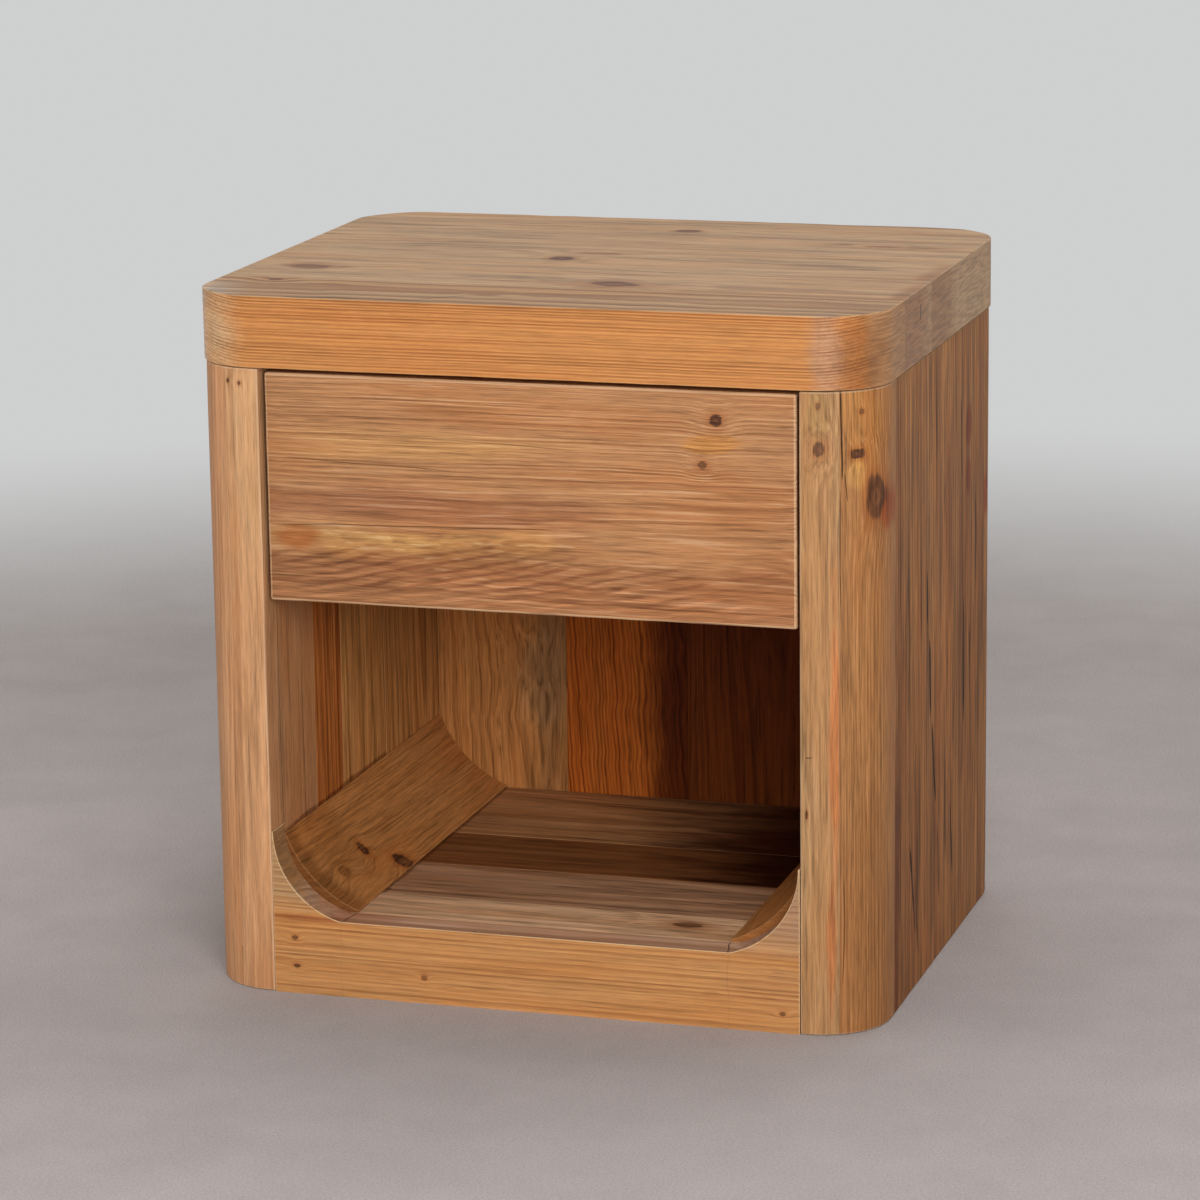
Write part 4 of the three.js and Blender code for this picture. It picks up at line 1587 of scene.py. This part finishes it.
@dataclass
class Base:
    """Front rail, floor boards, coves, cleats and batten.

    Attributes:
        rail_radius: Radius of the rail's curved ends.
        rail_dip: How far their circle reaches under the floor.
        rail_tip: Thickness where they run out on the side panel.
        cove_hollow: Depth of the coves' hollow.
        cove_edge: Blunt edge of the coves.
        steps: Steps in each curve.
        arris: Softening of the rail.
    """

    RAIL_SHARP = 0.006  # edges of the rail lower than this under the floor stay sharp

    rail_radius: float = 0.066
    rail_dip: float = 0.002
    rail_tip: float = 0.001
    cove_hollow: float = 0.00825
    cove_edge: float = 0.0015
    steps: int = 32
    arris: Edge = Edge(0.0013, 3, 0.0003)

    def build(self) -> None:
        """Builds and dresses the base."""
        self._rail()
        self._floor()
        for side in ("left", "right"):
            self._cove(side)
            self._plain_board(f"{side}_floor_cleat", Grain.ALONG_Y)
        self._plain_board("back_batten", Grain.ALONG_X)

    def _rail(self) -> None:
        """Builds the front rail, whose ends curve up the side panels."""
        node = "front_rail"
        low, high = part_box(node)
        floor_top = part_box("floor_board_1")[1].z
        shape = bmesh.new()
        rise = self.rail_radius - self.rail_dip
        turn = math.asin(rise / self.rail_radius)
        outline = [shape.verts.new((high.x, low.y, low.z)), shape.verts.new((high.x, low.y, high.z))]
        top = floor_top + rise
        centre = Vector((high.x - self.rail_tip - self.rail_radius, low.y, top))
        tip = Vector((high.x - self.rail_tip, low.y, top))
        right = Joinery.arc(shape, tip, centre, turn, self.steps)
        mirrored = Vector((-centre.x, low.y, top))
        left = Joinery.arc(shape, Vector((-tip.x, low.y, top)), mirrored, -turn, self.steps)
        corners = [shape.verts.new((low.x, low.y, high.z)), shape.verts.new((low.x, low.y, low.z))]
        Joinery.run(shape, [*outline, *right, *reversed(left), *corners], high.y - low.y)
        lowest = floor_top - self.RAIL_SHARP
        Joinery.soften(shape, self.arris, lambda edge: max(vert.co.z for vert in edge.verts) > lowest)
        finish = Pine(
            RAIL, Tree((-0.02, -0.12), 0.0042, (0.006, 0.006), 0.007, 0.3),
            contrast=0.7, fibre=0.3, combed=0.15, streaks=0.35, worn=0.8,
        )
        piece_for(node).publish(shape, finish.dress(Board(node, Grain.ALONG_X, 21.0)))

    def _floor(self) -> None:
        """Builds the floor boards."""
        for index, tone in enumerate((CREAMY, GREYISH, DUSKY, SMOKED), start=1):
            node = f"floor_board_{index}"
            shape = Joinery.block(*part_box(node))
            Joinery.soften(shape, Edge(0.0006, 2))
            tree = Tree((0.01, -0.05 - 0.01 * index), 0.0036, (0.01, 0.01), 0.008)
            finish = Pine(
                tone, tree, contrast=0.6, fibre=0.7, combed=0.3, streaks=0.7, coarse=1.7,
                gloss=0.15, worn=0.15,
            )
            piece_for(node).publish(shape, finish.dress(Board(node, Grain.ALONG_X, 4.9 * index + 25.0)))

    def _cove(self, side: str) -> None:
        """Builds the cove at the foot of one side panel.

        Args:
            side: Left or right.
        """
        node = f"{side}_cove"
        low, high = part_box(node)
        sign = -1 if side == "left" else 1
        wall = high.x if sign > 0 else low.x
        leg = high.z - low.z
        chord = math.sqrt(2) * (leg - self.cove_edge)
        radius = chord**2 / (8 * self.cove_hollow) + self.cove_hollow / 2
        middle = (leg + self.cove_edge) / 2 + (radius - self.cove_hollow) / math.sqrt(2)
        start = Vector((wall - sign * leg, low.y, low.z + self.cove_edge))
        centre = Vector((wall - sign * middle, low.y, low.z + middle))
        swing = 2 * math.asin(chord / 2 / radius)
        shape = bmesh.new()
        curve = Joinery.arc(shape, start, centre, -sign * swing, self.steps)
        foot = shape.verts.new((start.x, low.y, low.z))
        corner = shape.verts.new((wall, low.y, low.z))
        head = shape.verts.new((wall, low.y, high.z))
        Joinery.run(shape, [foot, *curve, head, corner], high.y - low.y)
        Joinery.soften(shape, Edge(0.0004, 2))
        finish = Pine(
            GOLDEN, Tree((0.05 * sign, 0.09), 0.007, (0.05, 0.03), 0.016, 0.3),
            contrast=0.4, fibre=0.6, combed=0.15, streaks=0.5, coarse=0.85, gloss=0.12, worn=0.35,
        )
        piece_for(node).publish(shape, finish.dress(Board(node, Grain.ALONG_Y, 50.0 + sign)))

    def _plain_board(self, node: str, grain: Grain) -> None:
        """Builds a plain hidden board.

        Args:
            node: CAD node that it stands for.
            grain: Direction of its fibres.
        """
        shape = Joinery.block(*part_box(node))
        Joinery.soften(shape, Edge(0.0008, 2))
        finish = Pine(FRESH, Tree((0.02, 0.05)), contrast=0.5, combed=0.05, streaks=0.15)
        piece_for(node).publish(shape, finish.dress(Board(node, grain, 60.0 + len(node))))


@dataclass
class Drawer:
    """The drawer: its front, its box and the screws between them.

    Attributes:
        arris: Softening of the drawer front.
        box_arris: Softening of the box.
        spacing: Length between the uneven places of the front's arrises.
    """

    arris: Edge = Edge(0.0022, 4, 0.0006)
    box_arris: Edge = Edge(0.001, 2)
    spacing: float = 0.012

    def build(self) -> None:
        """Builds and dresses the drawer."""
        self._front()
        parts = {
            "drawer_box_front": Grain.ALONG_X,
            "drawer_left_side": Grain.ALONG_Y,
            "drawer_right_side": Grain.ALONG_Y,
            "drawer_back": Grain.ALONG_X,
            "drawer_bottom": Grain.ALONG_X,
        }
        finish = Pine(
            FRESH, Tree((0.03, 0.08), 0.0035), contrast=0.45, fibre=0.25, combed=0.06,
            streaks=0.15, worn=0.3,
        )
        for index, (node, grain) in enumerate(parts.items()):
            shape = Joinery.block(*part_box(node))
            Joinery.soften(shape, self.box_arris)
            piece_for(node).publish(shape, finish.dress(Board(node, grain, 70.0 + 2.7 * index)))

    def _front(self) -> None:
        """Builds the brushed board that closes the drawer."""
        node = "drawer_front"
        shape = Joinery.block(*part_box(node))
        for axis in (0, 2):
            Joinery.divide(shape, axis, self.spacing)
        Joinery.soften(shape, self.arris)
        finish = Pine(
            FRONT, Tree((0.030, -0.036), 0.0030, (0.012, 0.004), 0.007, 0.25),
            contrast=0.66, fibre=0.5, combed=0.55, streaks=0.45, coarse=0.68, relief=0.0005, worn=0.8,
        )
        piece_for(node).publish(shape, finish.dress(Board(node, Grain.ALONG_X, 83.0)))


@dataclass
class Hardware:
    """Steel and beech parts that keep their CAD shape.

    Attributes:
        steel: Finish of the slides and screws.
    """

    steel: Steel = Steel()

    def build(self) -> None:
        """Dresses the CAD nodes that stay visible."""
        metal = self.steel.dress("zinc_steel")
        beech = Pine(FRESH, Tree((0.02, 0.05)), contrast=0.2, combed=0.0, streaks=0.1)
        for name, node in frame["nodes"].items():
            if "slide" in name or "screw" in name:
                self._paint(node, metal)
            elif "dowel" in name:
                self._paint(node, beech.dress(Board(name, Grain.ALONG_Z, 90.0 + len(name))))

    @staticmethod
    def _paint(node: bpy.types.Object, material: bpy.types.Material) -> None:
        """Gives a CAD node a material."""
        if not node.data.materials:
            node.data.materials.append(material)
        for place in node.material_slots:
            place.material = material


# ---------------------------------------------------------------------------------------------
# Studio
# ---------------------------------------------------------------------------------------------


@dataclass(frozen=True)
class SoftLight:
    """A round area light that faces the table.

    Attributes:
        azimuth: Degrees to the right of the front.
        elevation: Degrees over the horizon.
        distance: Distance from the table.
        size: Width.
        power: Power in watts.
    """

    azimuth: float
    elevation: float
    distance: float
    size: float
    power: float

    def hang(self, name: str, target: Vector) -> None:
        """Hangs the light.

        Args:
            name: Name of the light.
            target: Point that it faces.
        """
        turn, rise = math.radians(self.azimuth), math.radians(self.elevation)
        level = math.cos(rise)
        away = Vector((math.sin(turn) * level, -math.cos(turn) * level, math.sin(rise)))
        data = bpy.data.lights.new(name, "AREA")
        data.shape = "DISK"
        data.size = self.size
        data.energy = self.power
        light = bpy.data.objects.new(name, data)
        light.location = target + away * self.distance
        light.rotation_mode = "QUATERNION"
        light.rotation_quaternion = away.to_track_quat("Z", "Y")
        bpy.context.scene.collection.objects.link(light)


@dataclass
class Studio:
    """Floor, lights and camera.

    Attributes:
        camera_at: Place of the camera.
        heading: Turn of the camera to the left of +Y, in degrees.
        pitch: Tilt of the camera, in degrees.
        roll: Roll of the camera, in degrees.
        focal: Focal length in millimetres, on a sensor 36 mm wide.
        key: The window light from the front right.
        fill: The weaker light from the left.
        overhead: The light from the ceiling.
        wall: Colour of the background.
        carpet: Colour of the floor near the table.
    """

    ROOM = (  # axis, then where the room starts and ends to brighten, and from what to what
        (1, -0.2, 0.7, 0.028, 0.38),
        (2, 0.30, 0.95, 0.0, 0.22),
    )

    AIM = (0.0, 0.0, 0.25)  # point that the lights face
    FLOOR_RADIUS = 4.0
    FADE = (0.9, 2.1)  # distances over which the floor fades into the background
    SENSOR = 36.0  # width of the camera's sensor in millimetres

    camera_at: Point = (0.943, -3.139, 1.021)
    heading: float = 16.87
    pitch: float = -13.15
    roll: float = -0.74
    focal: float = 136.0
    key: SoftLight = SoftLight(24.0, 19.0, 3.0, 1.7, 72.0)
    fill: SoftLight = SoftLight(-66.0, 18.0, 2.6, 1.8, 17.0)
    overhead: SoftLight = SoftLight(170.0, 74.0, 2.6, 2.2, 30.0)
    wall: Colour = (0.62, 0.625, 0.625)
    carpet: Colour = (0.42, 0.373, 0.360)

    def build(self) -> None:
        """Builds the floor, the lights and the camera."""
        self._floor()
        for name, light in (("key", self.key), ("fill", self.fill), ("overhead", self.overhead)):
            light.hang(name, Vector(self.AIM))
        self._world()
        self._camera()
        bpy.context.scene.view_settings.view_transform = "Standard"

    def _floor(self) -> None:
        """Lays the plain pale floor, which fades into the background further out."""
        shape = bmesh.new()
        bmesh.ops.create_circle(shape, cap_ends=True, segments=96, radius=self.FLOOR_RADIUS)
        mesh = bpy.data.meshes.new("floor")
        shape.to_mesh(mesh)
        shape.free()
        sketch = Sketch("floor")
        place = sketch.node("TexCoord").outputs["Object"]
        pile = sketch.noise(place, (600.0, 600.0, 600.0), 1.0, 3.0).outputs["Fac"]
        cloud = sketch.noise(place, (14.0, 14.0, 14.0), 5.0, 2.0).outputs["Fac"]
        speckle = sketch.ramp(pile, 0.25, 0.75, 0.88, 1.12)
        shade = sketch.math("MULTIPLY", speckle, sketch.ramp(cloud, 0.2, 0.8, 0.95, 1.05))
        sketch.finish(sketch.scaled(self.carpet, shade), 0.95, pile, 0.001)
        glow = sketch.node("Emission")
        glow.inputs["Color"].default_value = (*self.wall, 1.0)
        mixed = sketch.node("MixShader")
        output = next(node for node in sketch.tree.nodes if node.type == "OUTPUT_MATERIAL")
        near = output.inputs[0].links[0].from_socket
        sketch.feed(mixed.inputs[0], sketch.ramp(sketch.vector("LENGTH", place), *self.FADE))
        sketch.tree.links.new(near, mixed.inputs[1])
        sketch.tree.links.new(glow.outputs[0], mixed.inputs[2])
        sketch.tree.links.new(mixed.outputs[0], output.inputs[0])
        mesh.materials.append(sketch.material)
        floor = bpy.data.objects.new("floor", mesh)
        bpy.context.scene.collection.objects.link(floor)

    def _world(self) -> None:
        """Makes an even background, and a room that is bright behind the table and above it."""
        world = bpy.data.worlds.new("room")
        world.use_nodes = True
        nodes, links = world.node_tree.nodes, world.node_tree.links
        nodes.clear()
        direction = nodes.new("ShaderNodeTexCoord")
        parts = nodes.new("ShaderNodeSeparateXYZ")
        links.new(direction.outputs["Generated"], parts.inputs[0])
        total = None
        for axis, low, high, start, end in self.ROOM:
            ramp = nodes.new("ShaderNodeMapRange")
            ramp.interpolation_type = "SMOOTHSTEP"
            links.new(parts.outputs[axis], ramp.inputs[0])
            for socket, number in zip(ramp.inputs[1:], (low, high, start, end)):
                socket.default_value = number
            if total is None:
                total = ramp.outputs[0]
                continue
            added = nodes.new("ShaderNodeMath")
            links.new(total, added.inputs[0])
            links.new(ramp.outputs[0], added.inputs[1])
            total = added.outputs[0]
        room = nodes.new("ShaderNodeBackground")
        links.new(total, room.inputs["Strength"])
        room.inputs["Color"].default_value = (1.0, 0.99, 0.97, 1.0)
        seen = nodes.new("ShaderNodeBackground")
        seen.inputs["Color"].default_value = (*self.wall, 1.0)
        path = nodes.new("ShaderNodeLightPath")
        mixed = nodes.new("ShaderNodeMixShader")
        links.new(path.outputs["Is Camera Ray"], mixed.inputs[0])
        links.new(room.outputs[0], mixed.inputs[1])
        links.new(seen.outputs[0], mixed.inputs[2])
        output = nodes.new("ShaderNodeOutputWorld")
        links.new(mixed.outputs[0], output.inputs[0])
        bpy.context.scene.world = world

    def _camera(self) -> None:
        """Sets up the camera."""
        data = bpy.data.cameras.new("camera")
        data.sensor_width = self.SENSOR
        data.lens = self.focal
        camera = bpy.data.objects.new("camera", data)
        turn = Matrix.Rotation(math.radians(self.heading), 4, "Z")
        tilt = Matrix.Rotation(math.radians(90.0 + self.pitch), 4, "X")
        roll = Matrix.Rotation(math.radians(self.roll), 4, "Z")
        camera.matrix_world = Matrix.Translation(self.camera_at) @ turn @ tilt @ roll
        bpy.context.scene.collection.objects.link(camera)
        bpy.context.scene.camera = camera


def main() -> None:
    """Builds the table around its frame, part by part."""
    logging.basicConfig(level=logging.INFO, format="%(name)s: %(message)s")
    assemblies: Iterable[Top | SidePanel | Back | Base | Drawer | Hardware | Studio] = (
        Studio(),
        Top(),
        SidePanel("left"),
        SidePanel("right"),
        Back(),
        Base(),
        Drawer(),
        Hardware(),
    )
    for assembly in assemblies:
        assembly.build()
        LOG.info("%s is done", type(assembly).__name__)


if __name__ == "__main__":
    main()
